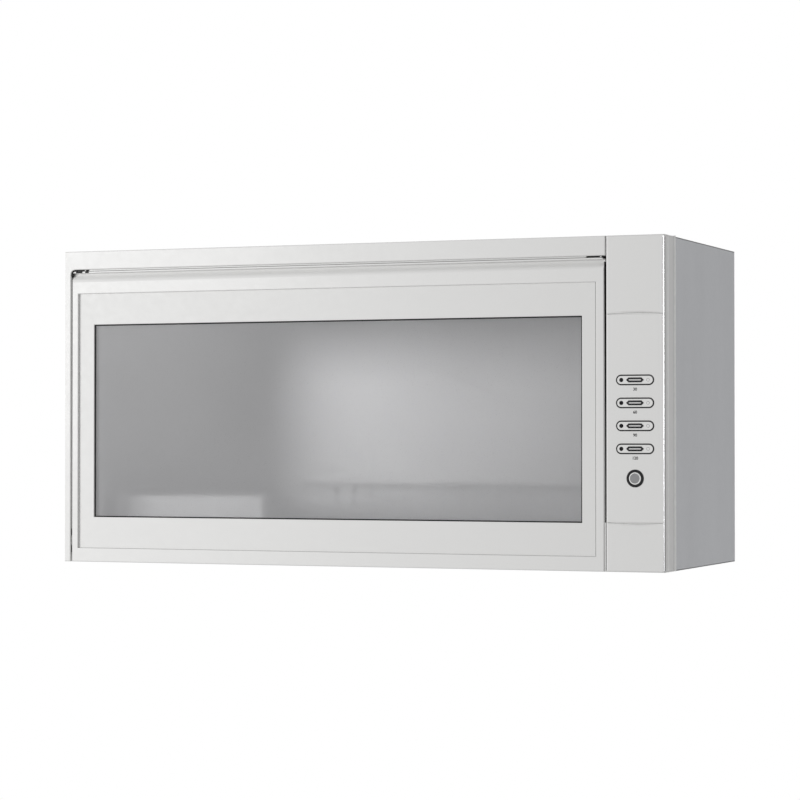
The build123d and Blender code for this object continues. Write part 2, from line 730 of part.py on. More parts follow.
def hinge_bushes():
    """Flanged bushes pressed into both lower corners of the door."""
    bushes = []
    for (start, end), side in zip(bush_spans(HINGE_BUSH_LENGTH), (-1, 1)):
        face = door_x[0] if side < 0 else door_x[1]
        flange = sorted((face, face + side * HINGE_BUSH_FLANGE))
        bush = rod_x((start, end), hinge_y, hinge_z, HINGE_BUSH_RADIUS)
        bush += rod_x(flange, hinge_y, hinge_z, HINGE_BUSH_FLANGE_RADIUS)
        bush -= rod_x(grow((start, end), OVERRUN), hinge_y, hinge_z,
                      HINGE_PIN_RADIUS + HINGE_RUNNING_CLEARANCE)
        bushes.append(bush)
    return bushes


def hinge_brackets():
    """Steel plates on the chassis that carry the hinge pins."""
    brackets = []
    for place in bracket_places:
        plate = slab(place, (hinge_depth - HINGE_BRACKET_REACH, chassis_front),
                     (bottom + MOULDING_WALL, hinge_z + HINGE_BRACKET_RISE))
        brackets.append(plate - rod_x(place, hinge_y, hinge_z, HINGE_PIN_RADIUS))
    return brackets


def hinge_pins():
    reach = HINGE_BUSH_LENGTH - HINGE_PIN_END_GAP
    spans = ((bracket_places[0][0], door_x[0] + reach), (door_x[1] - reach, bracket_places[1][1]))
    return [rod_x(span, hinge_y, hinge_z, HINGE_PIN_RADIUS) for span in spans]


def sector(radii, start, end):
    """A curved strip about the hinge axis; angles in degrees, up from straight back."""
    centre = (hinge_y, hinge_z)
    outer = CenterArc(centre, radii[1], start, end - start)
    inner = CenterArc(centre, radii[0], start, end - start)
    return make_face([outer, inner, Line(outer @ 0, inner @ 0), Line(outer @ 1, inner @ 1)])


def door_stays():
    """Curved arms on the door that run through slots in the chassis and end in a stop."""
    stays = []
    foot_ends = (chamber_x[0] - STAY_FOOT_CLEARANCE, chamber_x[1] + STAY_FOOT_CLEARANCE)
    behind_door = block(grow((left, right), OVERRUN), (y_at(DOOR_THICKNESS), 0), (bottom, top))
    lug_radii = (stay_radii[0], stay_radii[1] + STAY_LUG_RISE)
    foot_z = hinge_z + STAY_RADIUS
    for place, foot_end in zip(stay_places, foot_ends):
        arm = prism_x(sector(stay_radii, STAY_END_DEGREES, QUARTER_TURN), place)
        arm += prism_x(sector(lug_radii, STAY_END_DEGREES, STAY_END_DEGREES + STAY_LUG_DEGREES), place)
        arm &= behind_door
        foot_x = (min(place + (foot_end,)), max(place + (foot_end,)))
        arm += slab(foot_x, (DOOR_THICKNESS, DOOR_THICKNESS + STAY_FOOT_SHEET),
                    (foot_z - STAY_FOOT_HEIGHT / 2, foot_z + STAY_FOOT_HEIGHT / 2))
        stays.append(arm)
    return stays


def door_catches():
    """Black snap catches that show in the slit above the door."""
    catches = []
    for place in catch_places:
        heights = (rail_bottom - CATCH_DROP, rail_bottom + CATCH_RISE)
        catch = slab(place, (CATCH_FRONT_DEPTH, chassis_front), heights)
        catches.append(fillet(front_edges(catch), CATCH_EDGE_RADIUS))
    return catches


def front_chassis():
    """The steel plate behind the mouldings, with the chamber mouth and the slots for the stays."""
    through = grow((chassis_front, chassis_back), OVERRUN)
    plate = slab((left, right), (chassis_front, chassis_back), (bottom, top))
    plate -= slab(mouth_x, through, mouth_z)
    plate -= slab(inset(fascia_x, CHASSIS_WINDOW_INSET), through, inset((bottom, top), CHASSIS_WINDOW_END))
    near = chassis_front - hinge_depth
    far = chassis_back - hinge_depth
    slot_low = hinge_z + sqrt(stay_radii[0] ** 2 - far ** 2)
    slot_high = hinge_z + sqrt(stay_radii[1] ** 2 - near ** 2)
    slot_z = grow((slot_low, slot_high), STAY_SLOT_CLEARANCE)
    for place in stay_places:
        plate -= slab(grow(place, STAY_SLOT_CLEARANCE), through, slot_z)
    return plate


def exhaust_slots(z):
    """Slots for the damp air to leave through, as cutting tools."""
    centre = chamber_x[0] + EXHAUST_INSET
    depth = share_of((chassis_back, chamber_back), EXHAUST_DEPTH_SHARE)
    tools = []
    for x in along(centre, EXHAUST_SLOTS, EXHAUST_SLOT_PITCH):
        slot = SlotOverall(EXHAUST_SLOT_LENGTH, EXHAUST_SLOT_WIDTH, rotation=QUARTER_TURN)
        tools.append(extrude(Pos(x, y_at(depth), z - OVERRUN) * slot, amount=OVERRUN * 2))
    return tools


def casing_wrap():
    """Top and side sheets in one piece, with a rolled front edge and a flange at the back."""
    depths = (chassis_back, casing_back_depth)
    inside_x = inset((left, right), CASING_SHEET)
    under_top = top - CASING_SHEET
    wrap = slab((left, right), depths, (bottom, top))
    wrap -= slab(inside_x, grow(depths, OVERRUN), (bottom - OVERRUN, under_top))
    flange_depths = (casing_back_depth - CASING_SHEET, casing_back_depth)
    flange = slab(inside_x, flange_depths, (bottom + CASING_SHEET, under_top))
    wrap += flange - slab(inset((left, right), CASING_FLANGE), grow(flange_depths, OVERRUN),
                          (bottom, top - CASING_FLANGE))
    bead_y = y_at(chassis_back + CASING_BEAD_RADIUS)
    for x in (left, right):
        bead = rod_z(x, bead_y, (bottom, top), CASING_BEAD_RADIUS)
        wrap += bead & block((left, right), grow((bead_y, bead_y), OVERRUN), (bottom, top))
    for tool in exhaust_slots(top):
        wrap -= tool
    wrap -= rod_z(grommet_x, grommet_y, grow((top, top), OVERRUN), GROMMET_NECK_RADIUS)
    for tool in back_screw_tools():
        wrap -= tool
    return wrap


def casing_bottom():
    """The bottom sheet with the intake slots under the blower."""
    sheet = slab(inset((left, right), CASING_SHEET), (chassis_back, casing_back_depth),
                 (bottom, bottom + CASING_SHEET))
    for x in along(middle(duct_x), INTAKE_SLOTS, INTAKE_SLOT_PITCH):
        slot = SlotOverall(INTAKE_SLOT_LENGTH, INTAKE_SLOT_WIDTH, rotation=QUARTER_TURN)
        place = Pos(x, y_at(blower_depth - SCROLL_RADIUS - INTAKE_SLOT_LENGTH), bottom - OVERRUN)
        sheet -= extrude(place * slot, amount=OVERRUN * 2)
    return sheet


def back_screw_places():
    sides = inset((left, right), BACK_SCREW_INSET)
    rows = [(share_of(sides, share), top - BACK_SCREW_INSET) for share in BACK_SCREW_SHARES]
    columns = [(x, share_of((bottom, top), share)) for x in sides for share in BACK_SCREW_SHARES[1:-1]]
    return rows + columns


def back_screw(x, z):
    """A countersunk screw, its head flush with the wall face."""
    head = Cone(BACK_SCREW_SHANK_RADIUS, BACK_SCREW_HEAD_RADIUS, CASING_SHEET,
                align=(Align.CENTER, Align.CENTER, Align.MAX))
    screw = Plane(origin=(x, 0, z), z_dir=(0, 1, 0)) * head
    return screw + rod((x, -CASING_SHEET, z), (x, -BACK_SCREW_LENGTH, z), BACK_SCREW_SHANK_RADIUS)


def back_screw_tools():
    return [back_screw(x, z) for x, z in back_screw_places()]


def back_screws():
    return back_screw_tools()


def wall_bolt_places():
    return [(x, z) for x in (-WALL_BOLT_SPACING / 2, WALL_BOLT_SPACING / 2)
            for z in (-WALL_BOLT_RISE / 2, WALL_BOLT_RISE / 2)]


def bolt_holes(solid):
    for x, z in wall_bolt_places():
        solid -= rod((x, OVERRUN, z), (x, -OVERRUN, z), WALL_BOLT_RADIUS)
    return solid


def casing_back():
    """The back sheet that lies on the wall."""
    sheet = bolt_holes(slab((left, right), (casing_back_depth, DEPTH), (bottom, top)))
    for tool in back_screw_tools():
        sheet -= tool
    return sheet


def hanger_rails():
    """Two steel strips that stiffen the back sheet at the wall bolts."""
    rails = []
    for z in (-WALL_BOLT_RISE / 2, WALL_BOLT_RISE / 2):
        strip = slab((-HANGER_LENGTH / 2, HANGER_LENGTH / 2),
                     (casing_back_depth - HANGER_SHEET, casing_back_depth),
                     (z - HANGER_HEIGHT / 2, z + HANGER_HEIGHT / 2))
        rails.append(bolt_holes(strip))
    return rails


def door_seal():
    """The soft ring round the chamber mouth."""
    return window(chamber_x, chamber_z, mouth_x, mouth_z,
                  (DOOR_THICKNESS + DOOR_SEAL_CLEARANCE, chassis_front))


def liner_floor():
    return slab(chamber_x, (chassis_back, chamber_back), (chamber_z[0] - LINER_SHEET, chamber_z[0]))


def liner_ceiling():
    sheet = slab(chamber_x, (chassis_back, chamber_back), (chamber_z[1], chamber_z[1] + LINER_SHEET))
    for tool in exhaust_slots(chamber_z[1]):
        sheet -= tool
    return sheet


def liner_back():
    return slab(grow(chamber_x, LINER_SHEET), (chamber_back, chamber_back + LINER_SHEET),
                grow(chamber_z, LINER_SHEET))


def liner_left():
    return slab((chamber_x[0] - LINER_SHEET, chamber_x[0]), (chassis_back, chamber_back),
                grow(chamber_z, LINER_SHEET))


def side_slots(depth, z, count, length, width, pitch):
    """Rows of air slots through the partition, as cutting tools."""
    span = grow((chamber_x[1], partition_outside), OVERRUN)
    return [prism_x(Pos(y_at(depth), row) * SlotOverall(length, width), span)
            for row in along(z, count, pitch)]


def liner_right():
    """The partition to the machine compartment, slotted for the warm air and its return."""
    sheet = slab((chamber_x[1], partition_outside), (chassis_back, chamber_back),
                 grow(chamber_z, LINER_SHEET))
    tools = side_slots(middle(mouth_depths), middle(duct_z), OUTLET_SLOTS, OUTLET_SLOT_LENGTH,
                       OUTLET_SLOT_WIDTH, OUTLET_SLOT_PITCH)
    return_depth = share_of((chassis_back, chamber_back), RETURN_DEPTH_SHARE)
    return_z = share_of(chamber_z, RETURN_HEIGHT_SHARE)
    tools += side_slots(return_depth, return_z, RETURN_SLOTS, RETURN_SLOT_LENGTH,
                        RETURN_SLOT_WIDTH, RETURN_SLOT_PITCH)
    for tool in tools:
        sheet -= tool
    return sheet


def runner(side, front, level):
    """An angle strip on a side wall that a rack rests on."""
    wall = chamber_x[0] if side < 0 else chamber_x[1]
    edge = rack_x[0] if side < 0 else rack_x[1]
    under = sorted((wall, edge - side * RACK_FRAME_RADIUS * 2))
    upright = sorted((wall, wall - side * RUNNER_SHEET))
    face = level - RACK_FRAME_RADIUS - RUNNER_CLEARANCE
    depths = (front, chamber_back - RUNNER_END_GAP)
    strip = slab(under, depths, (face - RUNNER_SHEET, face))
    return strip + slab(upright, depths, (face - RUNNER_SHEET, face + RUNNER_HEIGHT))


def rack_runners():
    lower = [runner(side, rack_front, rack_z) for side in (-1, 1)]
    upper = [runner(side, upper_rack_front, upper_rack_z) for side in (-1, 1)]
    return lower + upper


def wire_shelf(front, level):
    """A rounded wire frame closed by thinner wires that run from front to back."""
    frame_x = inset(rack_x, RACK_FRAME_RADIUS)
    frame_y = inset((y_at(front), y_at(rack_back)), RACK_FRAME_RADIUS)
    corners = [(frame_x[0], frame_y[0], level), (frame_x[1], frame_y[0], level),
               (frame_x[1], frame_y[1], level), (frame_x[0], frame_y[1], level)]
    path = FilletPolyline(*corners, radius=RACK_CORNER_RADIUS, close=True)
    shelf = sweep(Plane(origin=path @ 0, z_dir=path % 0) * Circle(RACK_FRAME_RADIUS), path=path)
    usable = inset(frame_x, RACK_CORNER_RADIUS)
    count = int((usable[1] - usable[0]) / RACK_WIRE_PITCH) + 1
    wires = [rod((x, frame_y[0], level), (x, frame_y[1], level), RACK_WIRE_RADIUS)
             for x in along(middle(usable), count, RACK_WIRE_PITCH)]
    return shelf + wires


def lower_rack():
    frame_x = inset(rack_x, RACK_FRAME_RADIUS)
    bearers = [rod_x(frame_x, y_at(depth), bearer_z, RACK_BEARER_RADIUS) for depth in bearer_depths]
    return wire_shelf(rack_front, rack_z) + bearers


def upper_rack():
    return wire_shelf(upper_rack_front, upper_rack_z)


def divider(x):
    """An upside-down U of wire that a plate leans on."""
    front, back = y_at(divider_depths[0]), y_at(divider_depths[1])
    path = FilletPolyline((x, front, bearer_z), (x, front, divider_top), (x, back, divider_top),
                          (x, back, bearer_z), radius=DIVIDER_BEND_RADIUS)
    return sweep(Plane(origin=path @ 0, z_dir=path % 0) * Circle(RACK_WIRE_RADIUS), path=path)


def plate_dividers():
    return [divider(x) for x in divider_x]


def open_box(x, depths, z, wall, radius):
    """An open-topped box with rounded upright corners."""
    outer = slab(x, depths, z)
    outer = fillet(outer.edges().filter_by(Axis.Z), radius)
    inner = slab(inset(x, wall), inset(depths, wall), (z[0] + wall, z[1] + OVERRUN))
    return outer - fillet(inner.edges().filter_by(Axis.Z), radius - wall)


def cutlery_box():
    box = open_box(box_x, box_depths, (box_bottom, box_bottom + BOX_HEIGHT), BOX_WALL, BOX_CORNER_RADIUS)
    for x in along(middle(box_x), BOX_SLOTS, BOX_SLOT_PITCH):
        slot = SlotOverall(BOX_SLOT_LENGTH, BOX_SLOT_WIDTH, rotation=QUARTER_TURN)
        box -= extrude(Pos(x, y_at(middle(box_depths)), box_bottom - OVERRUN) * slot, amount=OVERRUN * 2)
    return box


def drip_tray():
    return open_box(tray_x, tray_depths, (chamber_z[0], tray_top), TRAY_WALL, TRAY_CORNER_RADIUS)


lamp_centre_x = middle(chamber_x)
lamp_x = (lamp_centre_x - LAMP_LENGTH / 2, lamp_centre_x + LAMP_LENGTH / 2)
lamp_depths = (chassis_back + LAMP_FRONT_GAP, chassis_back + LAMP_FRONT_GAP + LAMP_BREADTH)
lamp_base = chamber_z[1] - LAMP_BASE_HEIGHT
lamp_tube_y = y_at(middle(lamp_depths))
lamp_tube_z = lamp_base - LAMP_TUBE_DROP
lamp_socket_x = inset(lamp_x, LAMP_COVER_WALL)
lamp_tube_x = inset(lamp_socket_x, LAMP_SOCKET_LENGTH)


def lamp_housing():
    """The lamp base on the ceiling with a socket at each end."""
    housing = slab(lamp_x, lamp_depths, (lamp_base, chamber_z[1]))
    middle_depth = middle(lamp_depths)
    breadth = (middle_depth - LAMP_SOCKET_BREADTH / 2, middle_depth + LAMP_SOCKET_BREADTH / 2)
    drop = (lamp_tube_z - LAMP_TUBE_RADIUS, lamp_base)
    housing += slab((lamp_socket_x[0], lamp_tube_x[0]), breadth, drop)
    housing += slab((lamp_tube_x[1], lamp_socket_x[1]), breadth, drop)
    return housing


def lamp_tube():
    tube = rod_x(inset(lamp_tube_x, LAMP_CAP_LENGTH), lamp_tube_y, lamp_tube_z, LAMP_TUBE_RADIUS)
    return tube + rod_x(lamp_tube_x, lamp_tube_y, lamp_tube_z, LAMP_CAP_RADIUS)


def lamp_cover():
    """The milky trough under the lamp."""
    low = lamp_base - LAMP_COVER_HEIGHT
    cover = slab(lamp_x, lamp_depths, (low, lamp_base))
    cover = fillet(cover.faces().sort_by(Axis.Z)[0].edges().filter_by(Axis.X), LAMP_COVER_RADIUS)
    inner = slab(inset(lamp_x, LAMP_COVER_WALL), inset(lamp_depths, LAMP_COVER_WALL),
                 (low + LAMP_COVER_WALL, lamp_base + OVERRUN))
    inner_edges = inner.faces().sort_by(Axis.Z)[0].edges().filter_by(Axis.X)
    return cover - fillet(inner_edges, LAMP_COVER_RADIUS - LAMP_COVER_WALL)


def blower_scroll():
    """The blower case: a drum with a neck that blows upwards."""
    neck_z = (blower_z, neck_top)
    scroll = rod_x(scroll_x, blower_y, blower_z, SCROLL_RADIUS) + slab(scroll_x, mouth_depths, neck_z)
    inner_x = inset(scroll_x, SCROLL_WALL)
    scroll -= rod_x(inner_x, blower_y, blower_z, SCROLL_RADIUS - SCROLL_WALL)
    scroll -= slab(inner_x, inset(mouth_depths, SCROLL_WALL), (neck_z[0], neck_z[1] + OVERRUN))
    scroll -= rod_x((inner_x[1], scroll_x[1] + OVERRUN), blower_y, blower_z, SCROLL_INLET_RADIUS)
    scroll -= rod_x((scroll_x[0] - OVERRUN, inner_x[0]), blower_y, blower_z,
                    SHAFT_RADIUS + SHAFT_HOLE_CLEARANCE)
    return scroll


def blower_saddle():
    """The foot that carries the blower on the bottom sheet."""
    depths = (blower_depth - SADDLE_BREADTH / 2, blower_depth + SADDLE_BREADTH / 2)
    centre = middle(scroll_x)
    saddle_x = (centre - SADDLE_LENGTH / 2, centre + SADDLE_LENGTH / 2)
    saddle = slab(saddle_x, depths, (bottom + CASING_SHEET, blower_z))
    return saddle - rod_x(scroll_x, blower_y, blower_z, SCROLL_RADIUS)


def blower_motor():
    span = (scroll_x[0] - MOTOR_LENGTH, scroll_x[0])
    motor = rod_x(span, blower_y, blower_z, MOTOR_RADIUS)
    motor = fillet(motor.edges().sort_by(Axis.X)[0], MOTOR_EDGE_RADIUS)
    bore = (scroll_x[0] - SHAFT_IN_MOTOR, scroll_x[0])
    return motor - rod_x(bore, blower_y, blower_z, SHAFT_RADIUS + SHAFT_RUNNING_CLEARANCE)


wheel_x = inset(scroll_x, SCROLL_WALL + WHEEL_SIDE_GAP)


def blower_shaft():
    span = (scroll_x[0] - SHAFT_IN_MOTOR + HINGE_PIN_END_GAP, wheel_x[0] + WHEEL_HUB_LENGTH)
    return rod_x(span, blower_y, blower_z, SHAFT_RADIUS)


def blower_wheel():
    """A drum of blades on a disc, fixed to the shaft by its hub."""
    disc = rod_x((wheel_x[0], wheel_x[0] + WHEEL_WALL), blower_y, blower_z, WHEEL_RADIUS)
    rim_x = (wheel_x[1] - WHEEL_RIM_WIDTH, wheel_x[1])
    rim = rod_x(rim_x, blower_y, blower_z, WHEEL_RADIUS)
    rim -= rod_x(rim_x, blower_y, blower_z, WHEEL_RADIUS - WHEEL_WALL)
    hub = rod_x((wheel_x[0], wheel_x[0] + WHEEL_HUB_LENGTH), blower_y, blower_z, WHEEL_HUB_RADIUS)
    tip = WHEEL_RADIUS - WHEEL_WALL / 2
    blade = block(wheel_x, (WHEEL_INNER_RADIUS, tip), (-WHEEL_BLADE_SHEET / 2, WHEEL_BLADE_SHEET / 2))
    turn = FULL_TURN / WHEEL_BLADES
    axis_place = Pos(0, blower_y, blower_z)
    blades = [axis_place * Rot(turn * k, 0, 0) * blade for k in range(WHEEL_BLADES)]
    wheel = disc + rim + hub + blades
    return wheel - rod_x(wheel_x, blower_y, blower_z, SHAFT_RADIUS)


def heater_duct():
    """The box that turns the blown air towards the slots in the partition."""
    duct = slab(duct_x, mouth_depths, duct_z)
    duct -= slab((duct_x[0] - OVERRUN, duct_x[1] - DUCT_WALL), inset(mouth_depths, DUCT_WALL),
                 inset(duct_z, DUCT_WALL))
    duct -= slab(inset(scroll_x, SCROLL_WALL), inset(mouth_depths, SCROLL_WALL),
                 (duct_z[0] - OVERRUN, duct_z[0] + DUCT_WALL))
    return duct


def heater_core():
    """A ceramic heater: two end plates and a stack of fins."""
    depths = inset(mouth_depths, DUCT_WALL)
    heights = inset(duct_z, DUCT_WALL)
    low = (heights[0], heights[0] + HEATER_PLATE)
    high = (heights[1] - HEATER_PLATE, heights[1])
    plates = [slab(heater_x, depths, low), slab(heater_x, depths, high)]
    pitch = (depths[1] - depths[0]) / HEATER_FINS
    fins = [slab(heater_x, (depth - HEATER_FIN_SHEET / 2, depth + HEATER_FIN_SHEET / 2), heights)
            for depth in along(middle(depths), HEATER_FINS, pitch)]
    return plates[0] + plates[1] + fins


def thermostat():
    """A disc cut-out on top of the duct with its two tabs."""
    x, y = middle(duct_x), y_at(middle(mouth_depths))
    body_top = duct_z[1] + THERMOSTAT_HEIGHT
    body = rod_z(x, y, (duct_z[1], body_top), THERMOSTAT_RADIUS)
    for centre in (x - THERMOSTAT_TAB_SPREAD, x + THERMOSTAT_TAB_SPREAD):
        body += block((centre - THERMOSTAT_TAB_SHEET / 2, centre + THERMOSTAT_TAB_SHEET / 2),
                      (y - THERMOSTAT_TAB_BREADTH / 2, y + THERMOSTAT_TAB_BREADTH / 2),
                      (body_top, body_top + THERMOSTAT_TAB_LENGTH))
    return body


def lens_sketch():
    """A long hexagon with pointed ends."""
    half, rise = KEY_LENS_LENGTH / 2, KEY_LENS_HEIGHT / 2
    shoulder = half - KEY_LENS_POINT
    corners = [(half, 0), (shoulder, rise), (-shoulder, rise),
               (-half, 0), (-shoulder, -rise), (shoulder, -rise)]
    return make_face(Polyline(*corners, close=True))


def key(z):
    """A key cap kept in the fascia by its lip, with a stem into its switch."""
    cap = prism_y(Pos(key_x, z) * SlotOverall(KEY_LENGTH, KEY_HEIGHT), (-KEY_PROUD, key_lip_front))
    cap = fillet(front_edges(cap), KEY_EDGE_RADIUS)
    lip = SlotOverall(KEY_LENGTH + (KEY_GAP + KEY_LIP) * 2, KEY_HEIGHT + (KEY_GAP + KEY_LIP) * 2)
    cap += prism_y(Pos(key_x, z) * lip, (key_lip_front, key_lip_back))
    cap += rod_y(key_x, (key_lip_back, stem_end), z, KEY_STEM_RADIUS)
    cap -= rod_y(key_x - LED_OFFSET, (-OVERRUN, key_lip_back), z, LED_RADIUS + LED_CLEARANCE)
    return cap - key_lens(z)


def key_lens(z):
    return prism_y(Pos(key_x, z) * lens_sketch(), (-KEY_PROUD - KEY_LENS_PROUD, KEY_LENS_SET - KEY_PROUD))


def indicator_leds():
    """Light pipes that reach from the board through the keys."""
    return [rod_y(key_x - LED_OFFSET, (-KEY_PROUD, BOARD_DEPTH), z, LED_RADIUS) for z in key_zs]


def tact_switches():
    """Small switches on the board, each with a bore that its stem enters."""
    switches = []
    for z in key_zs + [power_z]:
        half = SWITCH_SIDE / 2
        body = slab((key_x - half, key_x + half), (switch_front, BOARD_DEPTH), (z - half, z + half))
        body -= rod_y(key_x, (switch_front, switch_bore_end), z, KEY_STEM_RADIUS + SWITCH_BORE_CLEARANCE)
        switches.append(body)
    return switches


def control_board():
    return slab(board_x, (BOARD_DEPTH, BOARD_DEPTH + BOARD_SHEET), board_z)


def power_ring():
    """The black ring round the power button, held by a lip behind the fascia."""
    ring = rod_y(key_x, (-POWER_RING_PROUD, MOULDING_WALL), power_z, POWER_HOLE_RADIUS)
    ring += rod_y(key_x, (MOULDING_WALL, MOULDING_WALL + POWER_RING_LIP_SHEET), power_z,
                  POWER_HOLE_RADIUS + POWER_RING_LIP)
    return ring - rod_y(key_x, (-OVERRUN, BOARD_DEPTH), power_z, POWER_RING_INNER_RADIUS)


def power_button():
    button = rod_y(key_x, (-POWER_BUTTON_PROUD, power_lip_front), power_z, POWER_BUTTON_RADIUS)
    button = fillet(button.edges().sort_by(Axis.Y)[0], POWER_BUTTON_EDGE_RADIUS)
    button += rod_y(key_x, (power_lip_front, power_lip_back), power_z, POWER_BUTTON_RADIUS + POWER_BUTTON_LIP)
    return button + rod_y(key_x, (power_lip_back, stem_end), power_z, KEY_STEM_RADIUS)


def power_board():
    return slab((power_board_x, power_board_face), power_board_depths, power_board_z)


def board_standoffs():
    """Studs between the partition and the power board."""
    return [rod_x((partition_outside, power_board_x), y_at(depth), z, STANDOFF_RADIUS)
            for depth in inset(power_board_depths, STANDOFF_INSET)
            for z in inset(power_board_z, STANDOFF_INSET)]


def on_board(depth, z, length, breadth, height):
    """A block standing on the power board."""
    return slab((power_board_face, power_board_face + height), (depth - length / 2, depth + length / 2),
                (z - breadth / 2, z + breadth / 2))


def board_components():
    """Transformer, relay, two capacitors and the mains terminals."""
    depths = inset(power_board_depths, COMPONENT_EDGE_GAP)
    heights = inset(power_board_z, COMPONENT_EDGE_GAP)
    transformer = on_board(depths[1] - TRANSFORMER_SIDE / 2, heights[0] + TRANSFORMER_SIDE / 2,
                           TRANSFORMER_SIDE, TRANSFORMER_SIDE, TRANSFORMER_HEIGHT)
    relay = on_board(depths[0] + RELAY_SIDE / 2, heights[0] + RELAY_SIDE / 2,
                     RELAY_SIDE, RELAY_SIDE, RELAY_HEIGHT)
    terminals = on_board(depths[1] - TERMINAL_LENGTH / 2, heights[1] - TERMINAL_BREADTH / 2,
                         TERMINAL_LENGTH, TERMINAL_BREADTH, TERMINAL_HEIGHT)
    stand = (power_board_face, power_board_face + CAPACITOR_HEIGHT)
    capacitors = [rod_x(stand, y_at(depths[0] + CAPACITOR_RADIUS), z, CAPACITOR_RADIUS)
                  for z in (heights[1] - CAPACITOR_RADIUS, middle(heights))]
    return [transformer, relay, terminals] + capacitors


def cable_grommet():
    """A rubber grommet in the top sheet, its bore free for a mains lead."""
    sheet = (top - CASING_SHEET, top)
    span = grow(sheet, GROMMET_FLANGE)
    grommet = rod_z(grommet_x, grommet_y, span, GROMMET_NECK_RADIUS)
    lower = rod_z(grommet_x, grommet_y, (span[0], sheet[0]), GROMMET_FLANGE_RADIUS)
    upper = rod_z(grommet_x, grommet_y, (sheet[1], span[1]), GROMMET_FLANGE_RADIUS)
    grommet += [lower, fillet(upper.edges().sort_by(Axis.Z)[-1], GROMMET_EDGE_RADIUS)]
    return grommet - rod_z(grommet_x, grommet_y, grow(span, OVERRUN), GROMMET_BORE_RADIUS)


def numbered_keys():
    """Each key cap and its lens as a node of its own."""
    nodes = {}
    for number, z in enumerate(key_zs, start=1):
        nodes[f"key_{number}"] = key(z)
        nodes[f"key_{number}_lens"] = key_lens(z)
    return nodes


PIECES = (
    casing_wrap, casing_bottom, casing_back, hanger_rails, back_screws, front_chassis, front_frame,
    control_fascia, door_catches, hinge_brackets, hinge_pins, door_seal, liner_floor, liner_ceiling,
    liner_back, liner_left, liner_right, rack_runners, drip_tray, lamp_housing, lamp_tube, lamp_cover,
    blower_scroll, blower_saddle, blower_motor, heater_duct, heater_core, thermostat, control_board,
    tact_switches, indicator_leds, power_ring, power_board, board_standoffs, board_components,
    cable_grommet, door_frame, window_bezel, door_glass, glass_seal, door_back, door_screws,
    hinge_bushes, door_stays, lower_rack, plate_dividers, cutlery_box, upper_rack, power_button,
    blower_shaft, blower_wheel,
)


def main():
    os.makedirs("parts", exist_ok=True)
    nodes = {piece.__name__: piece() for piece in PIECES}
    nodes.update(numbered_keys())
    for name, shape in nodes.items():
        solids = shape if isinstance(shape, list) else [shape]
        group = solids[0] if len(solids) == 1 else Compound(children=solids)
        export_step(group, f"parts/{name}.step")


if __name__ == "__main__":
    main()
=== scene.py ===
import json
import math

import bmesh
import bpy
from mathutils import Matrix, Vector


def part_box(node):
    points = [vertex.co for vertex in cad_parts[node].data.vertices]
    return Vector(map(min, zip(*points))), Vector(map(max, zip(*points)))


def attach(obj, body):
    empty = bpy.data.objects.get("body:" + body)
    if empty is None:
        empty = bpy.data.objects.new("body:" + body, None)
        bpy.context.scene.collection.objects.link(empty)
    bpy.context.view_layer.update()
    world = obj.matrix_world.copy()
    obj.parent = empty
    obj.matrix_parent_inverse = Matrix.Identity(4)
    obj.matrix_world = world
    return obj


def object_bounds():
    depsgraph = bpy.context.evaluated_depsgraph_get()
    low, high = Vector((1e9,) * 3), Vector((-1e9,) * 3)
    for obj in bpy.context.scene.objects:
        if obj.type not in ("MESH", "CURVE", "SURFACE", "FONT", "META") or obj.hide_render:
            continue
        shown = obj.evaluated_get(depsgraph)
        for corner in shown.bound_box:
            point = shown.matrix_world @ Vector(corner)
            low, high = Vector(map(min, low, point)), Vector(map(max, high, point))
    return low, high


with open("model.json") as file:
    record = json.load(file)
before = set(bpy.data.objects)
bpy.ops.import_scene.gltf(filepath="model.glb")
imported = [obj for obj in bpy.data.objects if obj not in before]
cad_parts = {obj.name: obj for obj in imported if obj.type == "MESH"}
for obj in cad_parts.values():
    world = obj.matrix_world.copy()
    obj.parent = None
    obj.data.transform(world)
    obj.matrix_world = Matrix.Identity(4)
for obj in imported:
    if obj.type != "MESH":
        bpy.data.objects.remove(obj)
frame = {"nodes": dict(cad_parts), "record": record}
cad_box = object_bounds()

# A wall-mounted dish dryer. Metres, +X to the right seen from the front, +Z up, the front faces -Y.
MM = 0.001

# Camera at the photograph's viewing angle, degrees and metres
CAMERA_AZIMUTH = 22.053
CAMERA_ELEVATION = -0.868
CAMERA_DISTANCE = 3.4043
CAMERA_AIM = Vector((0.0006, -0.16, 0.0083))
FOCAL_LENGTH = 119.106
SENSOR_WIDTH = 36.0

# Studio
FLOOR_DROP = 0.55
FLOOR_RADIUS = 1.3
FLOOR_FADE_START = 0.75
FLOOR_SIDES = 96
FLOOR_COLOUR = (0.86, 0.86, 0.86)
FLOOR_ROUGHNESS = 0.9
AMBIENT = 0.38
WHITE = 1.0
KEY_PLACE = Vector((-2.25, -2.85, 0.42))
KEY_SIZE = (1.9, 1.0)
KEY_WATTS = 77.0
EDGE_PLACE = Vector((1.5, -1.0, 0.05))
EDGE_SIZE = (0.1, 1.4)
EDGE_WATTS = 1.0
LIGHT_AIM = Vector((0.0, -0.3, 0.0))

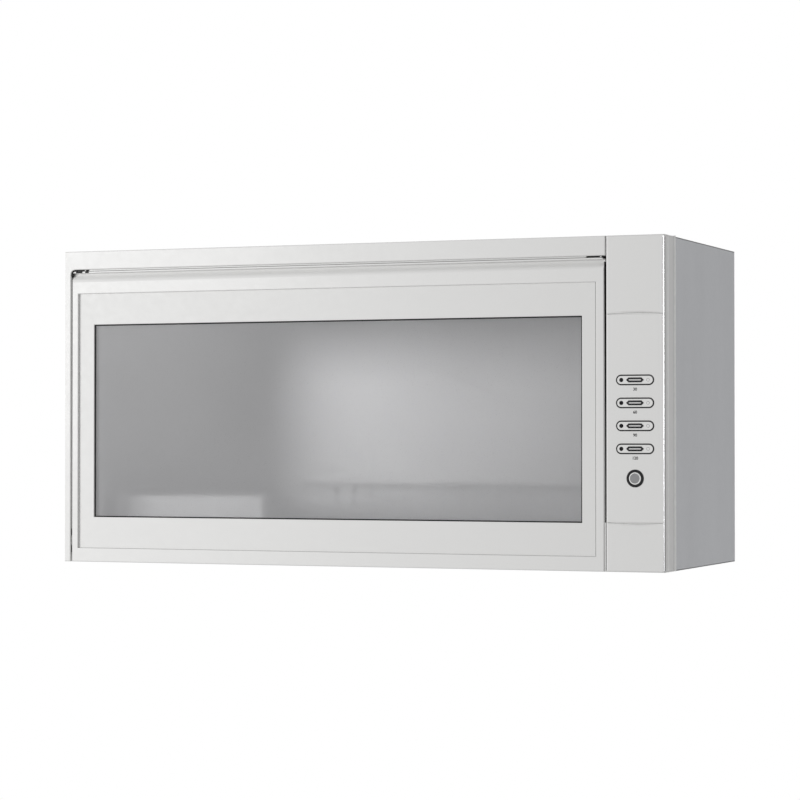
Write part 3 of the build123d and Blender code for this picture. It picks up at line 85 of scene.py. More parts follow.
# Details laid on the solids
PILLOW_SHOULDER_SHARE = 0.6
PILLOW_CREST_SHARE = 0.18
GLASS_LAP = 8 * MM
GASKET_WIDTH = 1.5 * MM
GASKET_HEIGHT = 0.7 * MM
LENS_POINT = 3 * MM
LENS_RIM_WIDTH = 2.1 * MM
LENS_RIM_HEIGHT = 0.3 * MM
KEY_LIP = 1.8 * MM
# Painted shade in the gap round each key: a black lining in its hole
KEY_HOLE_SHADE_WIDTH = 0.55 * MM
KEY_HOLE_SHADE_SET_BACK = 0.15 * MM
KEY_HOLE_SHADE_DEPTH = 1.5 * MM
# Painted shade: a dark edge on each key
KEY_EDGE_SHADE_GAP = 0.1 * MM
KEY_EDGE_SHADE_WIDTH = 1.0 * MM
KEY_EDGE_SHADE_HEIGHT = 0.04 * MM
KEY_EDGE_SHADE_DROP = 0.6 * MM
KEY_MARK_OFFSET = 16 * MM
KEY_MARK_RADIUS = 2 * MM
KEY_MARK_WIDTH = 0.4 * MM
KEY_MARK_HEIGHT = 0.03 * MM
POWER_CAP_RADIUS = 7.25 * MM
POWER_RIM_WIDTH = 1.2 * MM
POWER_RIM_HEIGHT = 0.35 * MM
POWER_RIM_DROP = 1.2 * MM
POWER_RIM_CROWN_SHARES = ((0.2, 0.4), (0.6, 1.0), (1.0, 0.7))
POWER_RIM_FOOT_SHARE = 0.5
RING_SIDES = 72
NUMBER_HEIGHT = 4.9 * MM
NUMBER_WEIGHT = 0.12 * MM
NUMBER_DROP = 11.1 * MM
NUMBER_RELIEF = 0.04 * MM
KEY_NUMBERS = ("30", "60", "90", "120")
KEYS = range(1, len(KEY_NUMBERS) + 1)
DOOR_GAP = 2.2 * MM
DOOR_CORNER = 4 * MM
BUMPER_GAP = 0.45 * MM
BUMPER_THICKNESS = 1.2 * MM
BUMPER_DEPTHS = (1.2 * MM, 5 * MM)
BUMPER_EDGE = 0.3 * MM
BUMPER_TAIL = 3 * MM
BUMPER_STEPS = 12
BUMPER_SWEEP_SHARE = 0.4
BUMPER_BLOCK = (5.2 * MM, 1.2 * MM)
ROLLER_INSETS = (11.5 * MM, 1.2 * MM)
ROLLER_RADIUS = 1.2 * MM
ROLLER_SET_BACK = 0.5 * MM
ROLLER_HEIGHT = 5 * MM
ROLLER_EDGE = 0.3 * MM
ROLLER_SIDES = 24
# The rolled bead on the casing, white as a painted highlight
BEAD_FRONT = 40.5 * MM
BEAD_WIDTH = 8 * MM
BEAD_HEIGHT = 1.2 * MM
BEAD_STEPS = 10
# A rib on the fascia's side, white as a painted highlight
RIB_FRONT = 13 * MM
RIB_WIDTH = 6 * MM
RIB_HEIGHT = 0.5 * MM
SEAM_FRONT = 2.2 * MM
SEAM_WIDTH = 3.4 * MM
SEAM_HEIGHT = 0.12 * MM
STRIP_END_GAP = 2 * MM
# Painted shade along the top and bottom edges of the casing's sides
SIDE_SHADE_INSET = 0.3 * MM
SIDE_SHADE_HEIGHT = 0.9 * MM
SIDE_SHADE_RELIEF = 0.12 * MM
SIDE_SHADE_EDGE = 0.1 * MM
GROOVE_SHARES = (0.7655, 0.146)
GROOVE_BOW = 1.3 * MM
GROOVE_DEPTHS = (1.3 * MM, 0.3 * MM)
# Painted shade line in each fascia groove
GROOVE_SHADE_SHARE = 0.95
GROOVE_SHADE_HEIGHT = 0.8 * MM
GROOVE_SHADE_RELIEF = 0.06 * MM
GROOVE_STEPS = 24
EDGE_RADIUS = 1.8 * MM
# Painted highlight along the fascia's rounded right edge
EDGE_HIGHLIGHT_RADIUS = 0.42 * MM
EDGE_HIGHLIGHT_SIDES = 16
BEZEL_LAP = 4 * MM
# Painted shade round the door's bezel, below it and on its right
PANEL_SHADE_BOTTOM = 0.5 * MM
PANEL_SHADE_RIGHT = 1.8 * MM
PANEL_SHADE_HEIGHT = 0.08 * MM
HINGE_CHEEK = 1.7 * MM
# Painted shade in the gap on the door's right
GAP_SHADE_THICKNESS = 0.35 * MM
GAP_SHADE_FRONTS = (6 * MM, 0.9 * MM)
GAP_SHADE_BACK = 9 * MM
GAP_SHADE_ENDS = (62 * MM, 5 * MM)
GAP_SHADE_EDGE = 0.1 * MM
PAD_SPANS = ((5.4 * MM, 14.6 * MM), (18.8 * MM, 23.7 * MM))
PAD_HEIGHT = 1.9 * MM
PAD_DROP = 0.2 * MM
PAD_RELIEF = 0.25 * MM
PAD_SEAT = 0.6 * MM
PAD_EDGE = 0.2 * MM

# Real sizes of the grain in each finish
FLAKE = 0.35 * MM
PEEL = 1.4 * MM
PAINT_CLOUD = 7.5 * MM
COAT_CLOUD = 5.6 * MM
COAT_MOTTLE = (90 * MM, 90 * MM, 270 * MM)
WIRE_CLOUD = 4.2 * MM
MOULD_CLOUD = 7 * MM
FROST_CLOUD = 180 * MM
TRACK = 4.2 * MM
BRUSH_FINE = 0.35 * MM
BRUSH_LENGTH = 160 * MM
SPANGLE = 9 * MM
MOULD_GRAIN = 0.25 * MM
FROST_GRAIN = 0.6 * MM

# Height of the relief in each finish
PAINT_RELIEF = 0.012 * MM
COAT_RELIEF = 0.03 * MM
ZINC_RELIEF = 0.01 * MM
BRUSH_RELIEF = 0.006 * MM
WIRE_RELIEF = 0.004 * MM
MOULD_RELIEF = 0.012 * MM
FROST_RELIEF = 0.002 * MM
TRACK_RELIEF = 0.02 * MM

# Base colour at the two ends of each finish's grain, as shares of the written colour
PAINT_SHARES = (0.975, 1.02)
COAT_SHARES = (0.97, 1.03)
ZINC_SHARES = (0.88, 1.08)
BRUSH_SHARES = (0.9, 1.06)
WIRE_SHARES = (0.93, 1.03)
MOULD_SHARES = (0.95, 1.04)
FROST_SHARES = (0.96, 1.03)
TRACK_SHARES = (1.6, 1.0)

# Roughness: how far it strays from a finish's own value, or its two ends
PAINT_STRAY = 0.05
MOULD_STRAY = 0.06
CLEAR_COAT_ROUGHNESS = 0.12
COAT_ROUGHNESS = (0.42, 0.54)
ZINC_ROUGHNESS = (0.34, 0.5)
BRUSH_ROUGHNESS = (0.26, 0.42)
WIRE_ROUGHNESS = (0.14, 0.26)
FROST_ROUGHNESS = (0.27, 0.33)
BOARD_ROUGHNESS = (0.25, 0.38)

# Other shader values, and the part of a grain's range that is used
ZINC_METALLIC = 0.85
GLASS_TRANSMISSION = 0.66
GLASS_INDEX = 1.22
GLASS_SHADOW_ALPHA = 0.08
GRAIN_ENDS = (0.3, 0.7)
TRACK_ENDS = (0.1, 0.2)
ROUGHNESS_ENDS = (0.25, 0.75)
PLAIN_DETAIL = 2.0
FINE_DETAIL = 3.0
RICH_DETAIL = 4.0

# Colours that more than one finish uses
SILVER = (0.735, 0.733, 0.725)
STAINLESS = (0.56, 0.56, 0.555)


class Look:
    """A material with one shader, and calls that hang procedural detail on it."""

    def __init__(self, name, colour, **sockets):
        self.material = bpy.data.materials.new(name)
        self.material.use_nodes = True
        self.nodes = self.material.node_tree.nodes
        self.links = self.material.node_tree.links
        self.shader = self.nodes["Principled BSDF"]
        self.place = self.nodes.new("ShaderNodeTexCoord").outputs["Object"]
        self.shader.inputs["Base Color"].default_value = (*colour, 1)
        for socket, value in sockets.items():
            self.shader.inputs[socket.replace("_", " ")].default_value = value

    def node(self, kind, inputs, **settings):
        made = self.nodes.new(kind)
        for name, value in settings.items():
            setattr(made, name, value)
        for name, value in inputs.items():
            if isinstance(value, bpy.types.NodeSocket):
                self.links.new(value, made.inputs[name])
            else:
                made.inputs[name].default_value = value
        return made

    def grains(self, sizes):
        """Object coordinates counted in grains of these sizes along X, Y and Z."""
        scale = [1 / size for size in sizes]
        return self.node("ShaderNodeMapping", {"Vector": self.place, "Scale": scale}).outputs["Vector"]

    def noise(self, sizes, detail=PLAIN_DETAIL):
        inputs = {"Vector": self.grains(sizes), "Scale": 1.0, "Detail": detail}
        return self.node("ShaderNodeTexNoise", inputs).outputs[0]

    def cells(self, size, output):
        inputs = {"Vector": self.grains((size,) * 3), "Scale": 1.0}
        return self.node("ShaderNodeTexVoronoi", inputs).outputs[output]

    def colour(self, factor, colour, shares, ends=GRAIN_ENDS):
        ramp = self.node("ShaderNodeValToRGB", {"Fac": factor})
        for element, end, share in zip(ramp.color_ramp.elements, ends, shares):
            element.position = end
            element.color = (*tinted(colour, share), 1)
        self.links.new(ramp.outputs["Color"], self.shader.inputs["Base Color"])

    def spread(self, socket, factor, start, end, low, high):
        inputs = {"Value": factor, "From Min": start, "From Max": end, "To Min": low, "To Max": high}
        self.links.new(self.node("ShaderNodeMapRange", inputs).outputs["Result"], self.shader.inputs[socket])

    def varied(self, socket, factor, low, high):
        self.spread(socket, factor, *ROUGHNESS_ENDS, low, high)

    def bump(self, height, depth, strength=1.0):
        made = self.node("ShaderNodeBump", {"Height": height, "Distance": depth, "Strength": strength})
        self.links.new(made.outputs["Normal"], self.shader.inputs["Normal"])


def tinted(colour, factor):
    return tuple(min(1.0, channel * factor) for channel in colour)


def painted(name, colour, roughness=0.4, coat=0.0):
    """Satin paint: fine flake, faint clouds in the gloss and orange peel."""
    look = Look(name, colour, Coat_Weight=coat, Coat_Roughness=CLEAR_COAT_ROUGHNESS)
    look.colour(look.noise((FLAKE,) * 3, FINE_DETAIL), colour, PAINT_SHARES)
    look.varied("Roughness", look.noise((PAINT_CLOUD,) * 3), roughness - PAINT_STRAY, roughness + PAINT_STRAY)
    look.bump(look.noise((PEEL,) * 3), PAINT_RELIEF)
    return look.material


def coated_steel(name, colour):
    """Powder-coated sheet steel."""
    look = Look(name, colour)
    look.colour(look.noise(COAT_MOTTLE, RICH_DETAIL), colour, COAT_SHARES)
    look.varied("Roughness", look.noise((COAT_CLOUD,) * 3), *COAT_ROUGHNESS)
    look.bump(look.noise((PEEL,) * 3, FINE_DETAIL), COAT_RELIEF)
    return look.material


def zinc(name, colour):
    """Zinc plate with its spangle."""
    look = Look(name, colour, Metallic=ZINC_METALLIC)
    look.colour(look.cells(SPANGLE, "Color"), colour, ZINC_SHARES)
    look.varied("Roughness", look.cells(SPANGLE, "Distance"), *ZINC_ROUGHNESS)
    look.bump(look.noise((PEEL,) * 3, RICH_DETAIL), ZINC_RELIEF)
    return look.material


def brushed(name, colour, along):
    """Stainless sheet brushed along one axis."""
    look = Look(name, colour, Metallic=1.0)
    sizes = [BRUSH_FINE] * 3
    sizes[along] = BRUSH_LENGTH
    lines = look.noise(sizes, FINE_DETAIL)
    look.colour(lines, colour, BRUSH_SHARES)
    look.varied("Roughness", lines, *BRUSH_ROUGHNESS)
    look.bump(lines, BRUSH_RELIEF)
    return look.material


def bright_wire(name, colour):
    """Polished stainless wire with faint drawing marks."""
    look = Look(name, colour, Metallic=1.0)
    look.colour(look.noise((PEEL,) * 3, FINE_DETAIL), colour, WIRE_SHARES)
    look.varied("Roughness", look.noise((WIRE_CLOUD,) * 3), *WIRE_ROUGHNESS)
    look.bump(look.noise((FLAKE,) * 3), WIRE_RELIEF)
    return look.material


def moulded(name, colour, roughness=0.42, **sockets):
    """Moulded plastic or rubber with a fine spark grain."""
    look = Look(name, colour, **sockets)
    look.colour(look.noise((MOULD_CLOUD,) * 3, FINE_DETAIL), colour, MOULD_SHARES)
    look.varied("Roughness", look.noise((PEEL,) * 3), roughness - MOULD_STRAY, roughness + MOULD_STRAY)
    look.bump(look.noise((MOULD_GRAIN,) * 3, FINE_DETAIL), MOULD_RELIEF)
    return look.material


def frosted(name, colour):
    """Grey frosted glass that casts only a faint shadow, so that light reaches what is behind it."""
    look = Look(name, colour, Transmission_Weight=GLASS_TRANSMISSION, IOR=GLASS_INDEX)
    shadow = look.node("ShaderNodeLightPath", {}).outputs["Is Shadow Ray"]
    look.spread("Alpha", shadow, 0, 1, 1, GLASS_SHADOW_ALPHA)
    look.colour(look.noise((FROST_CLOUD,) * 3), colour, FROST_SHARES)
    look.varied("Roughness", look.noise((FROST_GRAIN,) * 3), *FROST_ROUGHNESS)
    look.bump(look.noise((FROST_GRAIN,) * 3, FINE_DETAIL), FROST_RELIEF)
    return look.material


def circuit_board(name, colour):
    """Solder mask with copper tracks under it."""
    look = Look(name, colour)
    tracks = look.cells(TRACK, "Distance")
    look.colour(tracks, colour, TRACK_SHARES, TRACK_ENDS)
    look.varied("Roughness", look.noise((PEEL,) * 3), *BOARD_ROUGHNESS)
    look.bump(tracks, TRACK_RELIEF)
    return look.material


# Besides real parts, the black plastic, black rubber, dark plastic and grey rubber finishes colour the
# painted shade lines, and the white plastic and bright wire finishes colour the painted highlights.
LOOKS = {
    "silver_plastic": painted("silver_paint", SILVER, roughness=0.46, coat=0.08),
    "bezel_plastic": painted("bezel_paint", tinted(SILVER, 0.985), roughness=0.5),
    "casing_steel": coated_steel("casing_coat", (0.60, 0.61, 0.635)),
    "chassis_steel": coated_steel("chassis_coat", (0.60, 0.60, 0.59)),
    "zinc_steel": zinc("zinc_plate", (0.62, 0.63, 0.65)),
    "stainless": brushed("brushed_across", STAINLESS, along=0),
    "rack_steel": bright_wire("bright_wire", (0.78, 0.78, 0.80)),
    "frosted_glass": frosted("frosted_glass", (0.5, 0.5, 0.508)),
    "white_plastic": moulded("white_plastic", (0.9, 0.9, 0.89)),
    "milky_plastic": moulded("milky_plastic", (0.88, 0.88, 0.85), Subsurface_Weight=0.3),
    "black_plastic": moulded("black_plastic", (0.012, 0.012, 0.013), roughness=0.45, Specular_IOR_Level=0.15),
    "key_plastic": painted("key_paint", tinted(SILVER, 1.04)),
    "lens_plastic": moulded("smoked_lens", (0.6, 0.6, 0.6), roughness=0.25),
    "power_plastic": moulded("power_cap", (0.24, 0.24, 0.245), roughness=0.4),
    "led_plastic": moulded("dark_light_pipe", (0.006, 0.006, 0.007), roughness=0.3, Specular_IOR_Level=0.1),
    "rubber": moulded("black_rubber_and_painted_shade", (0.02, 0.02, 0.02), roughness=0.7, Specular_IOR_Level=0.15),
    "seal_rubber": moulded("grey_rubber_and_painted_shade", (0.36, 0.36, 0.355), roughness=0.68),
    "board_green": circuit_board("circuit_board", (0.03, 0.16, 0.07)),
    "part_dark": moulded("dark_plastic_and_painted_shade", (0.06, 0.06, 0.065), roughness=0.5),
    "heater_alloy": brushed("heater_fins", (0.74, 0.74, 0.75), along=2),
    "tube_glass": moulded("tube_coating", (0.9, 0.9, 0.87), roughness=0.2),
}
SIDE_LINER = brushed("brushed_back", STAINLESS, along=1)
SIDE_LINERS = ("liner_left", "liner_right")


def dress_solids():
    """Each CAD node takes the finish of its slot in the record."""
    for part in frame["record"]["subparts"]:
        node = frame["nodes"][part["node"]]
        look = SIDE_LINER if part["node"] in SIDE_LINERS else LOOKS[part["material_slot"]]
        node.data.materials.clear()
        node.data.materials.append(look)


def new_piece(name, mesh, body, slot):
    """A piece of the object that moves with a body and has the finish of a slot."""
    piece = bpy.data.objects.new(name, mesh)
    bpy.context.scene.collection.objects.link(piece)
    mesh.materials.append(LOOKS[slot])
    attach(piece, body)
    return piece


def moved_in(outline, amount):
    """A convex outline, listed anticlockwise seen from the front, with its sides moved in."""
    count = len(outline)
    lines = []
    for start, end in zip(outline, outline[1:] + outline[:1]):
        run = (end - start).normalized()
        lines.append((start + Vector((-run.y, run.x)) * amount, run))
    moved = []
    for k in range(count):
        (a, run_a), (b, run_b) = lines[k - 1], lines[k]
        along = (b - a).cross(run_b) / run_a.cross(run_b)
        moved.append(a + run_a * along)
    return moved


def loft_mesh(name, sections, closed=False):
    """A skin over closed sections of equal counts, joined end to end or capped."""
    mesh = bmesh.new()
    loops = [[mesh.verts.new(point) for point in section] for section in sections]
    count = len(loops[0])
    for loop, after in zip(loops, loops[1:] + (loops[:1] if closed else [])):
        for n in range(count):
            m = (n + 1) % count
            mesh.faces.new((loop[n], loop[m], after[m], after[n]))
    if not closed:
        mesh.faces.new(loops[0])
        mesh.faces.new(loops[-1])
    bmesh.ops.recalc_face_normals(mesh, faces=mesh.faces)
    data = bpy.data.meshes.new(name)
    mesh.to_mesh(data)
    mesh.free()
    return data


def ring_mesh(name, outline, profile, front):
    """A closed ring along an outline; the profile lists how far in and how far forward of front."""
    sections = [[(point.x, front - forward, point.y) for point in moved_in(outline, inward)]
                for inward, forward in profile]
    return loft_mesh(name, sections, closed=True)


def rectangle(low, high):
    corners = ((low.x, low.z), (high.x, low.z), (high.x, high.z), (low.x, high.z))
    return [Vector(corner) for corner in corners]


def circle(centre, radius, sides=RING_SIDES):
    turns = [2 * math.pi * k / sides for k in range(sides)]
    return [centre + Vector((math.cos(turn), math.sin(turn))) * radius for turn in turns]


def stadium(middle, length, height, sides=RING_SIDES):
    """A long outline with round ends."""
    radius = height / 2
    reach = length / 2 - radius
    outline = []
    for side, start in ((1, -0.5), (-1, 0.5)):
        for k in range(sides // 2 + 1):
            turn = math.pi * (start + 2 * k / sides)
            outline.append(middle + Vector((side * reach + math.cos(turn) * radius, math.sin(turn) * radius)))
    return outline


def chamfered(low_u, high_u, low_v, high_v, edge):
    """Corners of a rectangle with its corners cut off."""
    return [(low_u + edge, low_v), (high_u - edge, low_v), (high_u, low_v + edge), (high_u, high_v - edge),
            (high_u - edge, high_v), (low_u + edge, high_v), (low_u, high_v - edge), (low_u, low_v + edge)]


def pillow(width, height):
    """A low rounded profile from one edge of a ring to the other."""
    shoulder = height * PILLOW_SHOULDER_SHARE
    crest = width * PILLOW_CREST_SHARE
    return [(0, 0), (0, shoulder), (crest, height), (width - crest, height), (width, shoulder), (width, 0)]


def arch(width, height):
    """A round-topped profile as steps back and out."""
    turns = [k / BEAD_STEPS for k in range(BEAD_STEPS + 1)]
    return [(width * turn, math.sin(math.pi * turn) * height) for turn in turns]


def window_gasket():
    """The thin black line between the bezel and the glass."""
    low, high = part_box("door_glass")
    lap = Vector((GLASS_LAP, 0, GLASS_LAP))
    outline = rectangle(low + lap, high - lap)
    mesh = ring_mesh("window_gasket", outline, pillow(GASKET_WIDTH, GASKET_HEIGHT), low.y)
    new_piece("window_gasket", mesh, "door", "rubber")


def lens_rims():
    """The dark border of each key's lens."""
    for number in KEYS:
        low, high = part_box(f"key_{number}_lens")
        middle = (low.z + high.z) / 2
        corners = [(low.x, middle), (low.x + LENS_POINT, low.z), (high.x - LENS_POINT, low.z),
                   (high.x, middle), (high.x - LENS_POINT, high.z), (low.x + LENS_POINT, high.z)]
        outline = [Vector(corner) for corner in corners]
        name = f"key_{number}_lens_rim"
        mesh = ring_mesh(name, outline, pillow(LENS_RIM_WIDTH, LENS_RIM_HEIGHT), low.y)
        new_piece(name, mesh, f"key_{number}", "black_plastic")


def middle_of(node):
    low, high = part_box(node)
    return Vector(((low.x + high.x) / 2, (low.z + high.z) / 2))


def key_outline(number):
    """The outline of a key's hole in the fascia."""
    low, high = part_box(f"key_{number}")
    return stadium(middle_of(f"key_{number}"), high.x - low.x - KEY_LIP * 2, high.z - low.z - KEY_LIP * 2)


def key_hole_shade():
    """Painted shade: a black lining in each key's hole, standing for the shade in the gap round the key."""
    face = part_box("control_fascia")[0].y
    profile = [(0, -KEY_HOLE_SHADE_DEPTH), (0, -KEY_HOLE_SHADE_SET_BACK), (KEY_HOLE_SHADE_WIDTH, -KEY_HOLE_SHADE_SET_BACK),
               (KEY_HOLE_SHADE_WIDTH, -KEY_HOLE_SHADE_DEPTH)]
    for number in KEYS:
        name = f"key_{number}_hole_shade"
        new_piece(name, ring_mesh(name, key_outline(number), profile, face), "cabinet", "black_plastic")


def key_edge_shade():
    """Painted shade: a dark edge on each key, standing for the shade in the gap round it."""
    outer = KEY_HOLE_SHADE_WIDTH + KEY_EDGE_SHADE_GAP
    inner = outer + KEY_EDGE_SHADE_WIDTH
    profile = [(outer, -KEY_EDGE_SHADE_DROP), (outer, KEY_EDGE_SHADE_HEIGHT),
               (inner, KEY_EDGE_SHADE_HEIGHT), (inner, -KEY_EDGE_SHADE_DROP)]
    for number in KEYS:
        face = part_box(f"key_{number}")[0].y
        name = f"key_{number}_rim"
        mesh = ring_mesh(name, key_outline(number), profile, face)
        new_piece(name, mesh, f"key_{number}", "black_plastic")


def key_marks():
    """A thin printed circle at the right end of each key."""
    for number in KEYS:
        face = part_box(f"key_{number}")[0].y
        middle = middle_of(f"key_{number}") + Vector((KEY_MARK_OFFSET, 0))
        name = f"key_{number}_mark"
        mesh = ring_mesh(name, circle(middle, KEY_MARK_RADIUS), pillow(KEY_MARK_WIDTH, KEY_MARK_HEIGHT), face)
        new_piece(name, mesh, f"key_{number}", "power_plastic")


def corner_bumpers():
    """Black rubber in the upper corners of the door's opening."""
    low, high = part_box("door_frame")
    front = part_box("front_frame")[0].y
    centre = Vector((low.x + DOOR_CORNER, high.z - DOOR_CORNER))
    near = DOOR_CORNER + BUMPER_GAP
    ring = chamfered(near, near + BUMPER_THICKNESS, *[front + depth for depth in BUMPER_DEPTHS], BUMPER_EDGE)
    sections = [[(centre.x - radius, y, centre.y - BUMPER_TAIL) for radius, y in ring]]
    for k in range(BUMPER_STEPS + 1):
        turn = math.pi * (1 - BUMPER_SWEEP_SHARE * k / BUMPER_STEPS)
        sections.append([(centre.x + math.cos(turn) * radius, y, centre.y + math.sin(turn) * radius)
                         for radius, y in ring])
    new_piece("bumper_left", loft_mesh("bumper_left", sections), "cabinet", "rubber")
    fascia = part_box("control_fascia")[0].x
    heights = (high.z + BUMPER_GAP, high.z + DOOR_GAP)
    far, near = BUMPER_BLOCK
    steps = ((far, BUMPER_EDGE), (far - BUMPER_EDGE, 0), (near + BUMPER_EDGE, 0), (near, BUMPER_EDGE))
    sections = []
    for along, edge in steps:
        depths = (front + BUMPER_DEPTHS[0] + edge, front + BUMPER_DEPTHS[1] - edge)
        block = chamfered(*depths, heights[0] + edge, heights[1], BUMPER_EDGE)
        sections.append([(fascia - along, y, z) for y, z in block])
    new_piece("bumper_right", loft_mesh("bumper_right", sections), "cabinet", "rubber")


def catch_rollers():
    """A small white roller in the front of each catch."""
    low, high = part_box("door_catches")
    profile = [(ROLLER_RADIUS - ROLLER_EDGE, 0), (ROLLER_RADIUS, ROLLER_EDGE),
               (ROLLER_RADIUS, ROLLER_HEIGHT - ROLLER_EDGE), (ROLLER_RADIUS - ROLLER_EDGE, ROLLER_HEIGHT)]
    for name, x in (("roller_left", low.x + ROLLER_INSETS[0]), ("roller_right", high.x - ROLLER_INSETS[1])):
        centre = Vector((x, low.y + ROLLER_SET_BACK))
        sections = [[(point.x, point.y, low.z + height) for point in circle(centre, radius, ROLLER_SIDES)]
                    for radius, height in profile]
        new_piece(name, loft_mesh(name, sections), "cabinet", "white_plastic")


def casing_bead_highlight():
    """The rolled bead near the front edge of the casing, up one side, across the top and down the other,
    white as a painted highlight along it.
    """
    low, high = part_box("casing_wrap")
    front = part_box("control_fascia")[0].y + BEAD_FRONT
    bead = arch(BEAD_WIDTH, BEAD_HEIGHT)
    sections = [[(high.x + out, front + back, low.z) for back, out in bead],
                [(high.x + out, front + back, high.z + out) for back, out in bead],
                [(low.x - out, front + back, high.z + out) for back, out in bead],
                [(low.x - out, front + back, low.z) for back, out in bead]]
    new_piece("casing_bead_highlight", loft_mesh("casing_bead_highlight", sections), "cabinet", "white_plastic")


def casing_side_shade():
    """Painted shade: a dark line along the top and bottom edges of each side sheet."""
    low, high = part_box("casing_wrap")
    depths = (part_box("control_fascia")[0].y + BEAD_FRONT + BEAD_WIDTH, high.y - SIDE_SHADE_INSET)
    sides = (("left", low.x, -1), ("right", high.x, 1))
    levels = (("bottom", low.z + SIDE_SHADE_INSET), ("top", high.z - SIDE_SHADE_INSET - SIDE_SHADE_HEIGHT))
    for side, face, out in sides:
        skins = (face - out * SIDE_SHADE_RELIEF, face + out * SIDE_SHADE_RELIEF)
        for level, z in levels:
            outline = chamfered(*depths, z, z + SIDE_SHADE_HEIGHT, SIDE_SHADE_EDGE)
            sections = [[(x, y, up) for y, up in outline] for x in skins]
            name = f"side_shade_{side}_{level}"
            new_piece(name, loft_mesh(name, sections), "cabinet", "part_dark")


def groove_shade_lines():
    """Painted shade: a dark line at the bottom of each bowed groove in the fascia, where the groove's upper
    wall is in shade.
    """
    low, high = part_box("control_fascia")
    middle = (low.x + high.x) / 2
    reach = (high.x - low.x) / 2 * GROOVE_SHADE_SHARE
    lines = (("groove_shade_upper", GROOVE_SHARES[0], GROOVE_BOW),
             ("groove_shade_lower", GROOVE_SHARES[1], -GROOVE_BOW))
    for name, share, bow in lines:
        level = low.z + (high.z - low.z) * share
        sections = []
        for k in range(GROOVE_STEPS + 1):
            along = 2 * k / GROOVE_STEPS - 1
            depth = GROOVE_DEPTHS[0] + (GROOVE_DEPTHS[1] - GROOVE_DEPTHS[0]) * along ** 2
            z = level + bow * (1 - along ** 2)
            face = low.y + depth
            depths = (face - GROOVE_SHADE_RELIEF, face + GROOVE_SHADE_RELIEF)
            heights = (z - GROOVE_SHADE_HEIGHT / 2, z + GROOVE_SHADE_HEIGHT / 2)
            outline = chamfered(*depths, *heights, GROOVE_SHADE_RELIEF / 2)
            sections.append([(middle + along * reach, y, up) for y, up in outline])
        new_piece(name, loft_mesh(name, sections), "cabinet", "seal_rubber")


def fascia_strips_and_highlight():
    """On the right edge of the fascia a bright corner strip, which is a painted highlight, and on its side a
    dark seam and a rib that is white as a painted highlight.
    """
    low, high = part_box("control_fascia")
    ends = (low.z + STRIP_END_GAP, high.z - STRIP_END_GAP)
    strips = (("fascia_seam", SEAM_FRONT, SEAM_WIDTH, SEAM_HEIGHT, "seal_rubber"),
              ("fascia_rib_highlight", RIB_FRONT, RIB_WIDTH, RIB_HEIGHT, "white_plastic"))
    for name, front, width, height, slot in strips:
        profile = [(low.y + front + back, out) for back, out in arch(width, height)]
        sections = [[(high.x + out, y, z) for y, out in profile] for z in ends]
        new_piece(name, loft_mesh(name, sections), "cabinet", slot)
    reach = EDGE_RADIUS * (1 - math.cos(math.pi / 4))
    corner = Vector((high.x - reach, low.y + reach))
    sections = [[(point.x, point.y, z) for point in circle(corner, EDGE_HIGHLIGHT_RADIUS, EDGE_HIGHLIGHT_SIDES)]
                for z in ends]
    new_piece("fascia_edge_highlight", loft_mesh("fascia_edge_highlight", sections), "cabinet", "rack_steel")


def panel_shade_lines():
    """Painted shade: a thin dark line between the door's frame and the bezel, below it and on its right,
    where the edge of the recess is in shade.
    """
    low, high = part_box("window_bezel")
    lap = Vector((BEZEL_LAP, 0, BEZEL_LAP))
    low, high = low + lap, high - lap
    front = low.y - PANEL_SHADE_HEIGHT
    corners = [(low.x, low.z), (high.x, low.z), (high.x, high.z), (high.x - PANEL_SHADE_RIGHT, high.z),
               (high.x - PANEL_SHADE_RIGHT, low.z + PANEL_SHADE_BOTTOM), (low.x, low.z + PANEL_SHADE_BOTTOM)]
    sections = [[(x, y, z) for x, z in corners] for y in (front, low.y)]
    new_piece("panel_shade_line", loft_mesh("panel_shade_line", sections), "door", "seal_rubber")


def door_gap_shade():
    """Painted shade: a black strip down the door's right edge, narrowing towards the hinge, standing for the
    shade in the gap beside the fascia.
    """
    low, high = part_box("door_frame")
    edge = high.x - HINGE_CHEEK
    skins = (edge, edge + GAP_SHADE_THICKNESS)
    ends = (low.z + GAP_SHADE_ENDS[0], high.z - GAP_SHADE_ENDS[1])
    sections = []
    for z, front in zip(ends, GAP_SHADE_FRONTS):
        strip = chamfered(*skins, low.y + front, low.y + GAP_SHADE_BACK, GAP_SHADE_EDGE)
        sections.append([(x, y, z) for x, y in strip])
    new_piece("door_gap_shade", loft_mesh("door_gap_shade", sections), "door", "rubber")


def catch_pads():
    """Two black pads on the door's top lip, under the left catch."""
    low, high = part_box("door_frame")
    heights = (high.z - PAD_DROP - PAD_HEIGHT, high.z - PAD_DROP)
    for number, span in enumerate(PAD_SPANS, start=1):
        outline = chamfered(low.x + span[0], low.x + span[1], *heights, PAD_EDGE)
        sections = [[(x, y, z) for x, z in outline] for y in (low.y - PAD_RELIEF, low.y + PAD_SEAT)]
        name = f"catch_pad_{number}"
        new_piece(name, loft_mesh(name, sections), "door", "rubber")


def power_rim():
    """The white rim round the power button's cap."""
    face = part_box("power_button")[0].y
    width, height = POWER_RIM_WIDTH, POWER_RIM_HEIGHT
    crown = [(width * inward, height * forward) for inward, forward in POWER_RIM_CROWN_SHARES]
    foot = (width * POWER_RIM_FOOT_SHARE, -POWER_RIM_DROP)
    profile = [(0, -POWER_RIM_DROP), (0, -height), *crown, (width, -height), foot]
    mesh = ring_mesh("power_rim", circle(middle_of("power_button"), POWER_CAP_RADIUS), profile, face)
    new_piece("power_rim", mesh, "power_button", "white_plastic")


